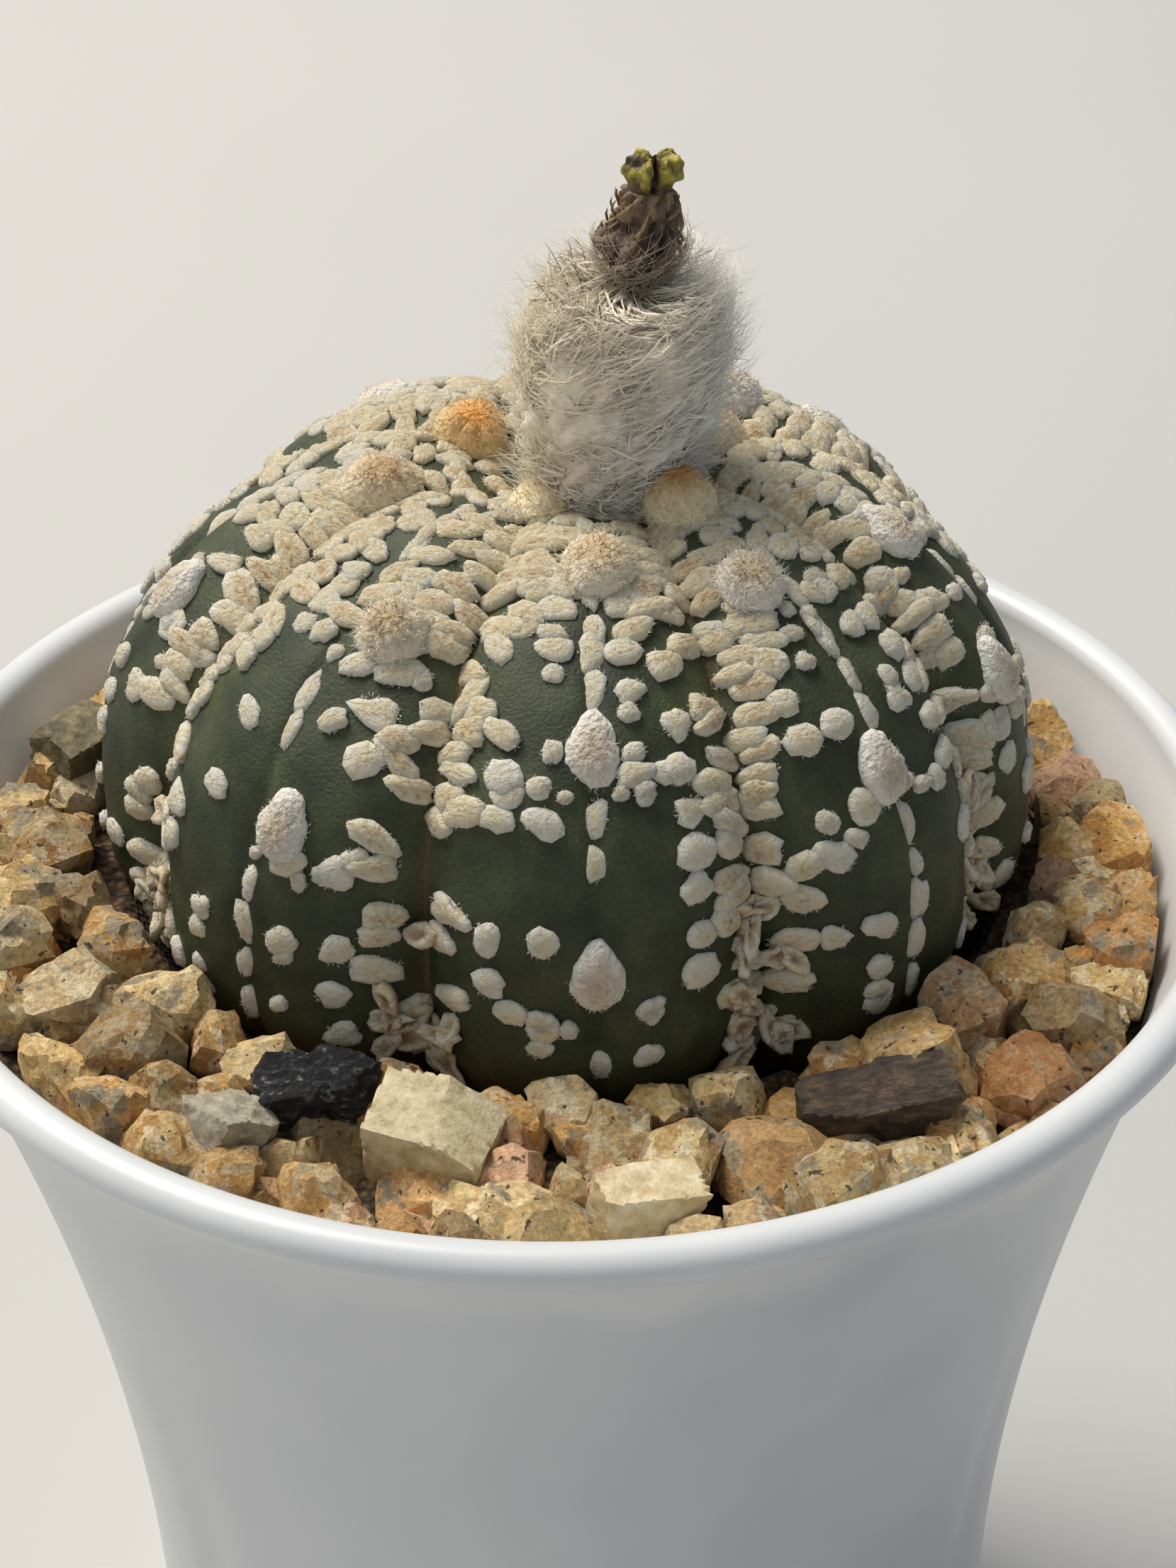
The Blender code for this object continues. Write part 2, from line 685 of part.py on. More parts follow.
def on_axis(z):
    return (*flower_axis(z), z)


def flower_rings(profile, sides, bump=None):
    """Rings round the leaning axis; bump(angle, height) scales the radius."""
    rings = []
    for radius, z in profile:
        cx, cy = flower_axis(z)
        ring = []
        for angle in round_angles(sides):
            r = radius * bump(angle, z) if bump else radius
            ring.append((cx + r * math.cos(angle), cy + r * math.sin(angle), z))
        rings.append(ring)
    return rings


def wool_lock(centre, radius, angle, z, rise, length):
    """A three-sided pointed lock of wool, rooted inside the tube and leaning up by rise."""
    out = Vector((math.cos(angle), math.sin(angle), 0))
    side = Vector((-math.sin(angle), math.cos(angle), 0))
    foot = Vector((centre[0], centre[1], z)) + out * (radius - LOCK_ROOT)
    way = (out + Vector((0, 0, rise))).normalized()
    up = side.cross(way)
    half = LOCK_WIDTH / 2
    base = [foot + side * half, foot - side * half, foot - up * LOCK_THICKNESS]
    return add_object("lock", hull_mesh("lock", base + [foot + way * length]))


def over_rim(profile):
    """A profile given in mm over the rim, as radii and heights in metres."""
    return [(r * MM, POT_HEIGHT + z * MM) for r, z in profile]


def make_flower_wool(finish):
    """The woolly tube: a leaning egg with pointed locks all round and a well for the petals."""
    profile = over_rim(WOOL_PROFILE)
    well_floor = POT_HEIGHT + WELL_RISE
    well = [(WELL_RADIUS, profile[-1][1]), (WELL_RADIUS, well_floor)]
    rings = flower_rings(profile + well, 16)
    mesh = mesh_from_rings(
        "flower_wool", rings, on_axis(profile[0][1]), on_axis(well_floor))
    wool = add_object("flower_wool", mesh, finish)
    draw = random.Random(LOCK_SEED)
    heights = [z for r, z in profile]
    radii = [r for r, z in profile]
    locks = []
    for k in range(LOCKS):
        z = heights[1] + (heights[-2] - heights[1]) * (k + 0.5) / LOCKS
        angle = k * GOLDEN_ANGLE + draw.uniform(-LOCK_SWAY, LOCK_SWAY)
        rise = draw.uniform(*LOCK_RISES)
        length = draw.uniform(*LOCK_LENGTHS)
        locks.append(wool_lock(flower_axis(z), np.interp(z, heights, radii), angle, z, rise, length))
    boolean(wool, "UNION", locks)
    return wool


def make_withered_flower(finish):
    """Dried petals twisted into a knobbly stalk that stands in the wool's well."""
    def knobs(angle, z):
        twist = angle + TWIST_PER_MM * (z - POT_HEIGHT - WELL_RISE) / MM
        return 1 + RIDGES * math.sin(3 * twist) + KNOBS * math.sin(5 * angle - 0.8 * z / MM)

    profile = over_rim(STALK_PROFILE)
    rings = flower_rings(profile, 12, knobs)
    mesh = mesh_from_rings(
        "withered_flower", rings, on_axis(profile[0][1]), on_axis(profile[-1][1]))
    return add_object("withered_flower", mesh, finish)


def make_flower_tip(finish):
    """The cut end: a short cup whose rim is crinkled into lobes."""
    def lobes(angle, z):
        share = (z - profile[0][1]) / (profile[2][1] - profile[0][1])
        return 1 + LOBE_DEPTH * min(1.0, share) * math.cos(LOBES * angle + 0.6)

    profile = over_rim(TIP_PROFILE)
    rings = flower_rings(profile, 20, lobes)
    mesh = mesh_from_rings(
        "flower_tip", rings, on_axis(profile[0][1]), on_axis(profile[-1][1]))
    return add_object("flower_tip", mesh, finish)


def main():
    clear_scene()
    make_pot(material("white_plastic", "#EEECE6", 0.35))
    make_soil(material("potting_mix", "#3B2C22", 0.95))
    sockets = []
    for name, place, semi, spin, seed, colour in ODD_STONES:
        stone, socket = odd_stone(name, place, semi, spin, seed, material(name, colour, 0.8))
        sockets.append(socket)
    make_gravel(material("tan_grit", "#B98F5E", 0.85), sockets)
    make_body(material("cactus_skin", "#3A4632", 0.7))
    make_flower_wool(material("grey_wool", "#D8D2C6", 0.95))
    make_withered_flower(material("withered_brown", "#4A382E", 0.85))
    make_flower_tip(material("cut_green", "#8E9038", 0.7))


main()
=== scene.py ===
"""Star cactus in a white plastic pot: the looks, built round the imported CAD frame.

Metres, +Z up, in the CAD's own frame: the pot's axis is Z and the front of the plant faces -Y.
Angles round the plant start at the front and turn towards +X. Across a rib, s runs from -1 in one
groove through 0 on its back to 1 in the next groove. turn runs from 0 at the crown through pi/2 at
the widest ring to pi at the base. The values repeated from part.py keep its names.
"""

import functools
import itertools
import math
import random

import bpy
import numpy as np
from mathutils import Euler, Matrix, Vector


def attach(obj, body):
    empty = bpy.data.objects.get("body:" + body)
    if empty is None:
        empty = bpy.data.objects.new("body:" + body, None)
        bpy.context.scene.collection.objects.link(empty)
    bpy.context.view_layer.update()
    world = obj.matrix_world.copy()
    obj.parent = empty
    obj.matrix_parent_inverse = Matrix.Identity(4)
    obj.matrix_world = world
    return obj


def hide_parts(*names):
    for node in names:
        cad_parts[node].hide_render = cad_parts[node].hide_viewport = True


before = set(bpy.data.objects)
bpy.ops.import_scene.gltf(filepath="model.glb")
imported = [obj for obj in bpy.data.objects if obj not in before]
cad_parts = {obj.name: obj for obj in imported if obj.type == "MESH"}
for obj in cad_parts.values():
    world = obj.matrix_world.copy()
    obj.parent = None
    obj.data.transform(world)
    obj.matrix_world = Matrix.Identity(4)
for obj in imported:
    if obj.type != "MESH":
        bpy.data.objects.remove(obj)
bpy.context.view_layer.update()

MM = 0.001
TAU = 2 * math.pi

# Slot and CAD node of the pieces that stand for one node
ON_PLANT = ("cactus_skin", "cactus_body")
IN_BED = ("tan_grit", "gravel")
IN_WOOL = ("grey_wool", "flower_wool")
ON_STALK = ("withered_petals", "withered_flower")

# Camera of the photograph
CAMERA_PLACE = (0.0, -0.165097, 0.194439)
CAMERA_RIGHT = (0.99984221, -0.01580068, -0.0081176)
CAMERA_UP = (0.01547282, 0.55015618, 0.83491842)
CAMERA_LENS = 68.354
CAMERA_SENSOR = 36

# Pot
POT_HEIGHT = 84 * MM
RIM_RADIUS = 45 * MM
FOOT_RADIUS = 32 * MM
FLARE_DEPTH = 70 * MM
FLARE_WIDTH = 11.7 * MM
WALL = 1.3 * MM
FLOOR = 2.8 * MM
RECESS = 1.4 * MM
FOOT_RING_WIDTH = 4.5 * MM
FOOT_BEVEL = (0.9 * MM, 1.2 * MM)
LIP_HALF_WIDTH = 1.45 * MM
LIP_HALF_HEIGHT = 1.3 * MM
LIP_HEIGHT = 2.2 * MM
CREASES = 10
CREASE_PHASE = math.radians(5)
CREASE_DEPTH = 0.35 * MM
CREASE_START = 20 * MM
CREASE_FADE = 25 * MM
CREASE_SHARPNESS = 4
DRAIN_HOLES = 4
DRAIN_RADIUS = 1.9 * MM
DRAIN_CIRCLE = 15 * MM
POT_SIDES = 40

# Bed under the grit
BED_BOTTOM = POT_HEIGHT - 14 * MM
BED_TOP = POT_HEIGHT - 7 * MM
POT_CLEARANCE = 0.35 * MM

# Plant
RIB_BEARINGS = np.array((3, 44, 82, 128, 175, 222, 269, 320), float)
RIB_GAPS = (np.roll(RIB_BEARINGS, -1) - RIB_BEARINGS) % 360
RIBS = len(RIB_BEARINGS)
BODY_CENTRE = (0.3 * MM, 7.7 * MM, POT_HEIGHT - 2.8 * MM)
BODY_WIDTH = 31.8 * MM
BODY_LENGTH = 30 * MM
CROWN_RISE = 25.3 * MM
BASE_DROP = 15.5 * MM
ROUNDNESS = 2.38
CROWN_SHIFT = (1.0 * MM, 3.6 * MM)
CROWN_SHIFT_POWER = 4
CROWN_DIP = 5 * MM
CROWN_DIP_RADIUS = 9 * MM
GROOVE_DEPTH = 2.7 * MM
GROOVE_GAIN = 1.15
GROOVE_SHARPNESS = 3.2
GROOVE_FADE = (1.85, 2.65)
ROOT_RADIUS = 6.5 * MM
ROOT_LENGTH = 30 * MM
ROOT_TAPER = ((0.12, 1.0), (0.6, 0.7), (1.0, 0.35))
CELL_EDGES = (-1.0, -0.72, -0.42, -0.14, 0.14, 0.42, 0.72, 1.0)
CELLS = len(CELL_EDGES) - 1
MIDDLE_CELL = 3
GROOVE_CELLS = (0, 6)
FLANK_CELLS = (1, 5)
BESIDE_CHAIN = (2, 4)
ROW_STEP = 0.1
SKIN_ROWS = 17

# Flecks of wool: the draws of part.py, then the real sizes in mm, half across and half down the rib
FLECK_SEED = 5
FIRST_FLECK_ROW = 2
FLECK_SIZES = (0.85, 1.1)
FLECK_JITTER = 0.09
FLECK_SKEW = 0.12
PAD_ROOM = 0.13
CHAIN_OFTEN = (0.95, 0.85)
FLANKS_OFTEN = (0.75, 0.3)
GROOVES_OFTEN = (0.95, 0.6)
CHAIN_HALF = (0.76, 1.38)
FLANK_HALF = (1.24, 1.02)
GROOVE_HALF = (1.62, 0.95)
CROWN_SPACING = 1.55 * MM
CROWN_PAD_SPACING = 2.2 * MM
CROWN_TRIES = 2500
PAD_ARMS = ((-0.44, 0.06), (-0.29, 0.1), (-0.15, 0.08), (0.15, 0.08), (0.29, 0.1), (0.44, 0.06))
MIDDLE_LINE = 0.16
MIDDLE_LINE_WIDTH = 0.05
BASE_NOTCH = 0.55

# Pads of wool: place across each rib and angle from the crown, the youngest first
PAD_WIDTH = 3.2 * MM
CROWN_PAD_WIDTH = 4.7 * MM
SECOND_PAD_WIDTH = 4.3 * MM
PAD_HEIGHT = 1.1 * MM
RIB_PADS = (
    ((0.1, 0.44), (0.0, 0.90), (0.0, 1.44)),
    ((-0.3, 0.28), (-0.4, 0.56), (-0.1, 1.10)),
    ((0.9, 0.24), (-0.3, 0.68), (-0.4, 1.14)),
    ((0.0, 0.36), (0.0, 0.76), (0.0, 1.24)),
    ((0.0, 0.30), (0.0, 0.80), (0.0, 1.30)),
    ((0.7, 0.20), (0.0, 0.60), (0.0, 1.10)),
    ((0.7, 0.36), (0.4, 0.90)),
    ((0.9, 0.16), (0.4, 0.66), (0.2, 1.18)),
)
# Colours of the pads, middle and edge, where they differ from the plain ones: (rib, order): colours
PLAIN_PAD = ("#CBB99E", "#F5F1E7")
PAD_COLOURS = {
    (0, 0): ("#CDB088", "#F7ECD2"),
    (1, 0): ("#CC923C", "#F8EAC4"),
    (1, 1): ("#C2AC8C", "#F6F0E2"),
    (2, 0): ("#A98455", "#E8D6B0"),
    (5, 0): ("#E0A04E", "#F7DFAC"),
    (6, 0): ("#C7A678", "#F8ECCE"),
    (7, 0): ("#EBC48C", "#FAECC8"),
    (7, 1): ("#BFA680", "#F8EED6"),
}

# Spent flower: the profile as radius and height over the rim, in mm
FLOWER_FOOT = (3.3 * MM, 8.0 * MM)
FLOWER_FOOT_RISE = 19.3 * MM
FLOWER_TOP_RISE = 43 * MM
FLOWER_LEAN = (3.2 * MM, 0.5 * MM)
LEAN_POWER = 1.3
STALK_PROFILE = (
    (1.45, 30.3), (1.45, 34.6), (2.2, 35.6), (2.35, 36.9), (1.95, 38.2), (1.75, 39.4), (1.6, 40.1))
TWIST_PER_MM = 0.35
TIP_TOP = 42.55

# Grit
GRIT_SEED = 11
GRIT_COUNT = 136
GRIT_TRIES = 20000
GRIT_SIZES = (1.9 * MM, 3.3 * MM)
GRIT_CLEARANCE = 1 * MM
GRIT_SPACING = 0.86
GRIT_OVERHANG = 0.35
CHIP_CORNERS = (0.55, 0.95)
CHIP_BUMP = 1.05
CHIP_BUMP_SHIFT = 0.3
CHIP_LONG = (0.95, 1.25)
CHIP_WIDE = (0.8, 1.0)
CHIP_TALL = 0.85
CHIP_TILT = 0.5
CHIP_RISE = (0.1, 0.45)
CHIP_LOWEST = BED_BOTTOM + 1 * MM
NEAREST_SHARE = 0.3
HEAP_RISE = 2.4 * MM
HEAP_BEARING = math.radians(255)

# Odd stones: place (mm from the pot's axis and above the bed), half sizes (mm), turns and seed
ODD_STONES = {
    "black_stone": ((-15.6, -24.2, 1.9), (4.1, 2.1, 1.9), (0.1, 0.1, 0.15), 3),
    "dark_stone": ((18.4, -25.6, 1.8), (5.4, 2.3, 2.0), (0.1, -0.1, 0.1), 4),
    "pale_block": ((-8.4, -27.9, 2.0), (4.0, 3.0, 2.4), (0.1, 0.1, -0.2), 5),
    "grey_stone": ((-20.6, -27.2, 1.3), (2.5, 2.2, 1.9), (0.0, 0.2, 0.6), 6),
    "olive_stone": ((-34.6, 13.0, 1.6), (3.2, 2.8, 2.4), (0.2, 0.0, 0.9), 7),
    "quartz_stone": ((4.2, -34.2, 1.6), (3.0, 2.4, 2.2), (0.2, 0.1, 0.4), 8),
}


# Plain tools

RIPPLE_SINES = 10
BAND_FLATNESS = 0.35


def linear(hex_colour):
    """sRGB hex to linear RGBA."""
    values = np.array([int(hex_colour[i:i + 2], 16) / 255 for i in (1, 3, 5)])
    values = np.where(values <= 0.04045, values / 12.92, ((values + 0.055) / 1.055) ** 2.4)
    return (*values.tolist(), 1.0)


def unit(vectors):
    """Each vector divided by its length."""
    return vectors / np.maximum(np.linalg.norm(vectors, axis=-1, keepdims=True), 1e-12)


def dot(one, other):
    """Sum of the products of two vectors' parts, kept as a last axis of one."""
    return (one * other).sum(-1, keepdims=True)


def smooth_step(value, low, high):
    """0 below low, 1 above high, and 3t^2 - 2t^3 between them."""
    share = np.clip((value - low) / (high - low), 0, 1)
    return share * share * (3 - 2 * share)


def ripple(points, size, seed):
    """Smooth noise of about -1 to 1: the mean of sines along random directions, with wavelengths
    near size, times the square root of their number."""
    draw = np.random.default_rng(seed)
    ways = unit(draw.normal(size=(RIPPLE_SINES, 3)))
    ways = ways * TAU / (size * draw.uniform(0.6, 1.7, (RIPPLE_SINES, 1)))
    phases = draw.uniform(0, TAU, RIPPLE_SINES)
    return np.sin(points @ ways.T + phases).sum(-1) / math.sqrt(RIPPLE_SINES)


def ring_angles(sides):
    """Even angles of a whole turn, from 0."""
    return np.arange(sides) * TAU / sides


def grid_faces(rows, columns):
    """Quads of a grid of points, row by row, whose last column joins its first. Rows go up and
    columns anticlockwise, so they face outwards."""
    row, column = np.meshgrid(np.arange(rows - 1), np.arange(columns), indexing="ij")
    here, beside = row * columns + column, row * columns + (column + 1) % columns
    return np.stack([here, beside, beside + columns, here + columns], -1).reshape(-1, 4)


def capped_faces(rows, columns):
    """Faces of rings with a pole under the first and one over the last, in that order at the end
    of the points: the quads of grid_faces and a fan of triangles at each pole."""
    here = np.arange(columns)
    beside = (here + 1) % columns
    low = np.stack([np.full(columns, rows * columns), beside, here], -1)
    top = (rows - 1) * columns
    high = np.stack([np.full(columns, rows * columns + 1), top + here, top + beside], -1)
    return [grid_faces(rows, columns), np.concatenate([low, high])]


def repeated(faces, count, points_each):
    """The same faces for each of count shapes, whose points follow one another."""
    starts = (np.arange(count) * points_each)[:, None, None]
    return [(face[None] + starts).reshape(-1, face.shape[1]) for face in faces]


def with_poles(rings, low, high):
    """Points of each shape's rings (shape, row, column, xyz), then its low and its high pole."""
    count = rings.shape[0]
    return np.concatenate([rings.reshape(count, -1, 3), low[:, None], high[:, None]], 1)


def put_in_scene(name, data):
    """A new object of this data, linked to the scene."""
    thing = bpy.data.objects.new(name, data)
    bpy.context.scene.collection.objects.link(thing)
    return thing


def make_piece(name, points, faces, finish, slot, node, crisp=None, **values):
    """Put points and arrays of faces into a mesh, with point attributes, as a piece of the plant.

    values are numbers, vectors or RGBA colours, one for each point. crisp is the angle in degrees over
    which an edge stays sharp.
    """
    points = np.asarray(points, float).reshape(-1, 3)
    corners = np.concatenate([face.ravel() for face in faces])
    sizes = np.concatenate([np.full(len(face), face.shape[1]) for face in faces])
    mesh = bpy.data.meshes.new(name)
    mesh.vertices.add(len(points))
    mesh.vertices.foreach_set("co", points.ravel())
    mesh.loops.add(len(corners))
    mesh.loops.foreach_set("vertex_index", corners.astype(np.int32))
    mesh.polygons.add(len(sizes))
    mesh.polygons.foreach_set("loop_start", (np.cumsum(sizes) - sizes).astype(np.int32))
    mesh.update(calc_edges=True)
    mesh.validate()
    for label, value in values.items():
        value = np.asarray(value, float)
        kind, field = {4: ("FLOAT_COLOR", "color"), 3: ("FLOAT_VECTOR", "vector")}.get(
            value.shape[-1], ("FLOAT", "value"))
        mesh.attributes.new(label, kind, "POINT").data.foreach_set(field, value.ravel())
    mesh.shade_smooth()
    if crisp:
        mesh.set_sharp_from_angle(angle=math.radians(crisp))
    thing = put_in_scene(name, mesh)
    mesh.materials.append(finish)
    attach(thing, "root")
    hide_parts(node)
    return thing


def strands(paths, thickness, seed, tip=0.35, outward=None):
    """Hairs along paths (hair, step, xyz), as points and faces: three-sided tubes.

    At each step but the last three points lie round the path, at half the thickness times a share
    that goes from 1 to tip, and the last step is the point that closes the hair. The root is
    closed by a triangle. thickness is one value or one for each hair. Where outward directions
    are given the hair is a band that lies flat across them, and BAND_FLATNESS as thick as wide.
    """
    count, steps, _ = paths.shape
    draw = np.random.default_rng(seed)
    way = unit(np.gradient(paths, axis=1))
    up = unit(draw.normal(size=(count, 1, 3))) if outward is None else outward
    side = unit(np.cross(way, up))
    over = np.cross(way, side) * (1 if outward is None else BAND_FLATNESS)
    angle = ring_angles(3)[:, None] + math.pi / 6
    share = np.linspace(1.0, tip, steps - 1)[None, :, None, None]
    radius = np.broadcast_to(np.asarray(thickness) / 2, (count,))[:, None, None, None] * share
    around = np.cos(angle) * side[:, :-1, None] + np.sin(angle) * over[:, :-1, None]
    rings = paths[:, :-1, None] + radius * around
    points = np.concatenate([rings.reshape(count, -1, 3), paths[:, -1:]], 1)
    last = (steps - 2) * 3
    ends = np.array([(0, 2, 1), *[(last + i, last + (i + 1) % 3, last + 3) for i in range(3)]])
    faces = [ends] if steps == 2 else [grid_faces(steps - 1, 3), ends]
    return points, repeated(faces, count, last + 4)


def per_point(values, steps):
    """A value for each strand as one for each of its points."""
    return np.repeat(values, 3 * (steps - 1) + 1, 0)


def joined(parts):
    """Several (points, faces) as one, with the faces' numbers moved on."""
    points, faces, start = [], [], 0
    for part_points, part_faces in parts:
        part_points = part_points.reshape(-1, 3)
        points.append(part_points)
        faces += [face + start for face in part_faces]
        start += len(part_points)
    return np.concatenate(points), faces


# Materials

# Sockets of a Mix node that mixes colours
COLOUR_A, COLOUR_B, COLOUR_OUT = 6, 7, 2


def set_socket(tree, socket, value):
    """Give a socket a plain value, or a link from an output or from a node's first output."""
    if isinstance(value, bpy.types.Node):
        value = value.outputs[0]
    if isinstance(value, bpy.types.NodeSocket):
        tree.links.new(value, socket)
    else:
        socket.default_value = value


def add_node(tree, kind, sockets=None, stops=None, **settings):
    """Add a shader node with its settings, its ramp's stops, and its sockets' values or links."""
    node = tree.nodes.new("ShaderNode" + kind)
    for name, value in settings.items():
        setattr(node, name, value)
    if stops:
        first, *middle, last = stops
        for element, (place, colour) in zip(node.color_ramp.elements, (first, last)):
            element.position, element.color = place, linear(colour)
        for place, colour in middle:
            node.color_ramp.elements.new(place).color = linear(colour)
    for name, value in (sockets or {}).items():
        set_socket(tree, node.inputs[name], value)
    return node


def new_material(name, **values):
    """A material with plain values on its shader's own sockets, add_node for its tree, and the
    object coordinates."""
    made = bpy.data.materials.new(name)
    made.use_nodes = True
    for socket, value in values.items():
        made.node_tree.nodes["Principled BSDF"].inputs[socket.replace("_", " ")].default_value = value
    add = functools.partial(add_node, made.node_tree)
    return made, add, add("TexCoord").outputs["Object"]


def finish_shader(made, colour, height, distance, strength=1.0, roughness=None):
    """Link the colour, the bump of a height over a distance, and a varying roughness to the
    material's shader, and hand the material back."""
    tree = made.node_tree
    bump = add_node(tree, "Bump", {"Strength": strength, "Distance": distance, "Height": height})
    for name, value in (("Base Color", colour), ("Normal", bump), ("Roughness", roughness)):
        if value is not None:
            set_socket(tree, tree.nodes["Principled BSDF"].inputs[name], value)
    return made


def moulded_polypropylene():
    """Polypropylene, injection moulded thin and white: a soft gloss that lets a little light
    through, fine orange peel about 0.5 mm across, and faint clouds in the white."""
    made, add, place = new_material(
        "moulded_polypropylene", Roughness=0.36, IOR=1.49, Subsurface_Weight=0.5,
        Subsurface_Radius=(1, 0.93, 0.82), Subsurface_Scale=2.4 * MM)
    clouds = add("TexNoise", {"Vector": place, "Scale": 45, "Detail": 3})
    colour = add("ValToRGB", {"Fac": clouds}, stops=((0.3, "#D2D5D8"), (0.7, "#E0E2E2")))
    peel = add("TexNoise", {"Vector": place, "Scale": 1800, "Detail": 2})
    gloss = add("MapRange", {"Value": clouds, "To Min": 0.32, "To Max": 0.44})
    return finish_shader(made, colour, peel, 0.03 * MM, 0.35, gloss)


def potting_mix():
    """Peat and bark, milled and packed damp: dark brown crumbs 0.5 to 2 mm across, without gloss."""
    made, add, place = new_material("potting_mix", Roughness=0.95)
    crumbs = add("TexVoronoi", {"Vector": place, "Scale": 800})
    fibres = add("TexNoise", {"Vector": place, "Scale": 1500, "Detail": 4})
    mixed = add("Math", {0: crumbs, 1: fibres}, operation="MULTIPLY")
    colour = add("ValToRGB", {"Fac": mixed}, stops=(
        (0.05, "#17100B"), (0.3, "#3B2A1E"), (0.6, "#6A4F38")))
    return finish_shader(made, colour, mixed, 0.6 * MM)


def crushed_granite():
    """Granite, crushed to grit and dusty: crystals of about 1 mm run into each other as cream,
    yellow and orange feldspar, with glassy grey quartz in patches of 2 mm and black specks of mica
    on each chip's own colour, as much as that colour's alpha says. The broken faces are pitted,
    and the quartz shines a little."""
    made, add, place = new_material("crushed_granite", Roughness=0.7)
    bend = add("TexNoise", {"Vector": place, "Scale": 800, "Detail": 4, "Roughness": 0.7})
    bent = add("VectorMath", {
        0: bend.outputs["Color"], 1: (2.8 * MM, 2.8 * MM, 2.8 * MM), 2: place}, operation="MULTIPLY_ADD")
    crystals = add("TexVoronoi", {"Vector": bent, "Scale": 1000})
    kind = add("SeparateColor", {"Color": crystals.outputs["Color"]})
    feldspar = add("ValToRGB", {"Fac": kind}, stops=(
        (0.0, "#A87E4C"), (0.2, "#E0B870"), (0.45, "#F1DBA2"), (0.65, "#FBF0CE"), (0.85, "#DEB068"),
        (1.0, "#A8713C")))
    own = add("Attribute", attribute_name="tint")
    mixed = add("Mix", {
        "Factor": own.outputs["Alpha"], COLOUR_A: own.outputs["Color"], COLOUR_B: feldspar},
        data_type="RGBA")
    patches = add("TexNoise", {"Vector": bent, "Scale": 420, "Detail": 3})
    glassy = add("MapRange", {"Value": patches, "From Min": 0.56, "From Max": 0.64})
    quartz = add("Mix", {
        "Factor": glassy, COLOUR_A: mixed.outputs[COLOUR_OUT], COLOUR_B: linear("#A3967C")},
        data_type="RGBA")
    flecks = add("TexNoise", {"Vector": place, "Scale": 1500, "Detail": 2})
    mica = add("MapRange", {"Value": flecks, "From Min": 0.66, "From Max": 0.7, "To Max": 0.85})
    speckled = add("Mix", {
        "Factor": mica, COLOUR_A: quartz.outputs[COLOUR_OUT], COLOUR_B: linear("#2E2721")},
        data_type="RGBA")
    grains = add("TexNoise", {"Vector": place, "Scale": 2600, "Detail": 4, "Roughness": 0.7})
    dust = add("MapRange", {
        "Value": grains, "From Min": 0.3, "From Max": 0.7, "To Min": 0.62, "To Max": 1.4})
    colour = add("VectorMath", {0: speckled.outputs[COLOUR_OUT], 1: dust}, operation="MULTIPLY")
    pits = add("TexNoise", {"Vector": place, "Scale": 1100, "Detail": 7, "Roughness": 0.7})
    height = add("Math", {0: pits, 1: kind}, operation="ADD")
    gloss = add("MapRange", {"Value": glassy, "To Min": 0.8, "To Max": 0.45})
    return finish_shader(made, colour, height, 0.5 * MM, 1.0, gloss)


def under_grit_and_gap_shade():
    """Grit under the chips, seen in the gaps between them: brown grains 0.3 to 0.8 mm, painted dark as the
    shade down in the gaps.
    """
    made, add, place = new_material("under_grit_and_gap_shade", Roughness=0.95)
    grains = add("TexVoronoi", {"Vector": place, "Scale": 1700})
    # Painted shade: browns much darker than the chips, for the shade in the gaps between them.
    colour = add("ValToRGB", {"Fac": grains}, stops=((0.1, "#7A5F3E"), (0.5, "#4A3A28"), (0.9, "#211A13")))
    return finish_shader(made, colour, grains, 0.4 * MM)


def broken_stone(name, stops, grain, depth, roughness, stretch, seed):
    """A natural stone, broken: its colours run through a noise whose grain is in mm; stretch lays
    the grain in bands, as in slate, and depth in mm is that of its broken face."""
    made, add, place = new_material(name, Roughness=roughness)
    turned = add("Mapping", {
        "Vector": place, "Location": (seed, seed, seed), "Scale": stretch, "Rotation": (0.2, 0.15, 0.1)})
    grains = add("TexNoise", {"Vector": turned, "Scale": 1 / (grain * MM), "Detail": 6, "Roughness": 0.7})
    colour = add("ValToRGB", {"Fac": grains}, stops=stops)
    return finish_shader(made, colour, grains, depth * MM)


def cactus_skin():
    """Living cactus skin, waxless and matt: dark green, olive where attribute olive is high, with
    grains of 0.2 mm that scatter the light and dry brown where attribute dry is high."""
    made, add, place = new_material(
        "cactus_skin", Roughness=0.62, Subsurface_Weight=0.08, Subsurface_Radius=(0.4, 1, 0.2),
        Subsurface_Scale=0.8 * MM)
    clouds = add("TexNoise", {"Vector": place, "Scale": 330, "Detail": 4})
    green = add("ValToRGB", {"Fac": clouds}, stops=((0.3, "#1D2616"), (0.55, "#2E3721"), (0.8, "#3F472D")))
    olive = add("ValToRGB", {"Fac": clouds}, stops=((0.3, "#4E5530"), (0.6, "#757A42"), (0.85, "#969455")))
    how = add("Attribute", attribute_name="olive")
    mixed = add("Mix", {"Factor": how.outputs["Fac"], COLOUR_A: green, COLOUR_B: olive}, data_type="RGBA")
    dry = add("Attribute", attribute_name="dry")
    aged = add("Mix", {
        "Factor": dry.outputs["Fac"], COLOUR_A: mixed.outputs[COLOUR_OUT], COLOUR_B: linear("#6B5A3A")},
        data_type="RGBA")
    grains = add("TexNoise", {"Vector": place, "Scale": 4200, "Detail": 3, "Roughness": 0.6})
    fine = add("MapRange", {
        "Value": grains, "From Min": 0.3, "From Max": 0.7, "To Min": 0.7, "To Max": 1.3})
    colour = add("VectorMath", {0: aged.outputs[COLOUR_OUT], 1: fine}, operation="MULTIPLY")
    return finish_shader(made, colour, grains, 0.12 * MM, 0.8)


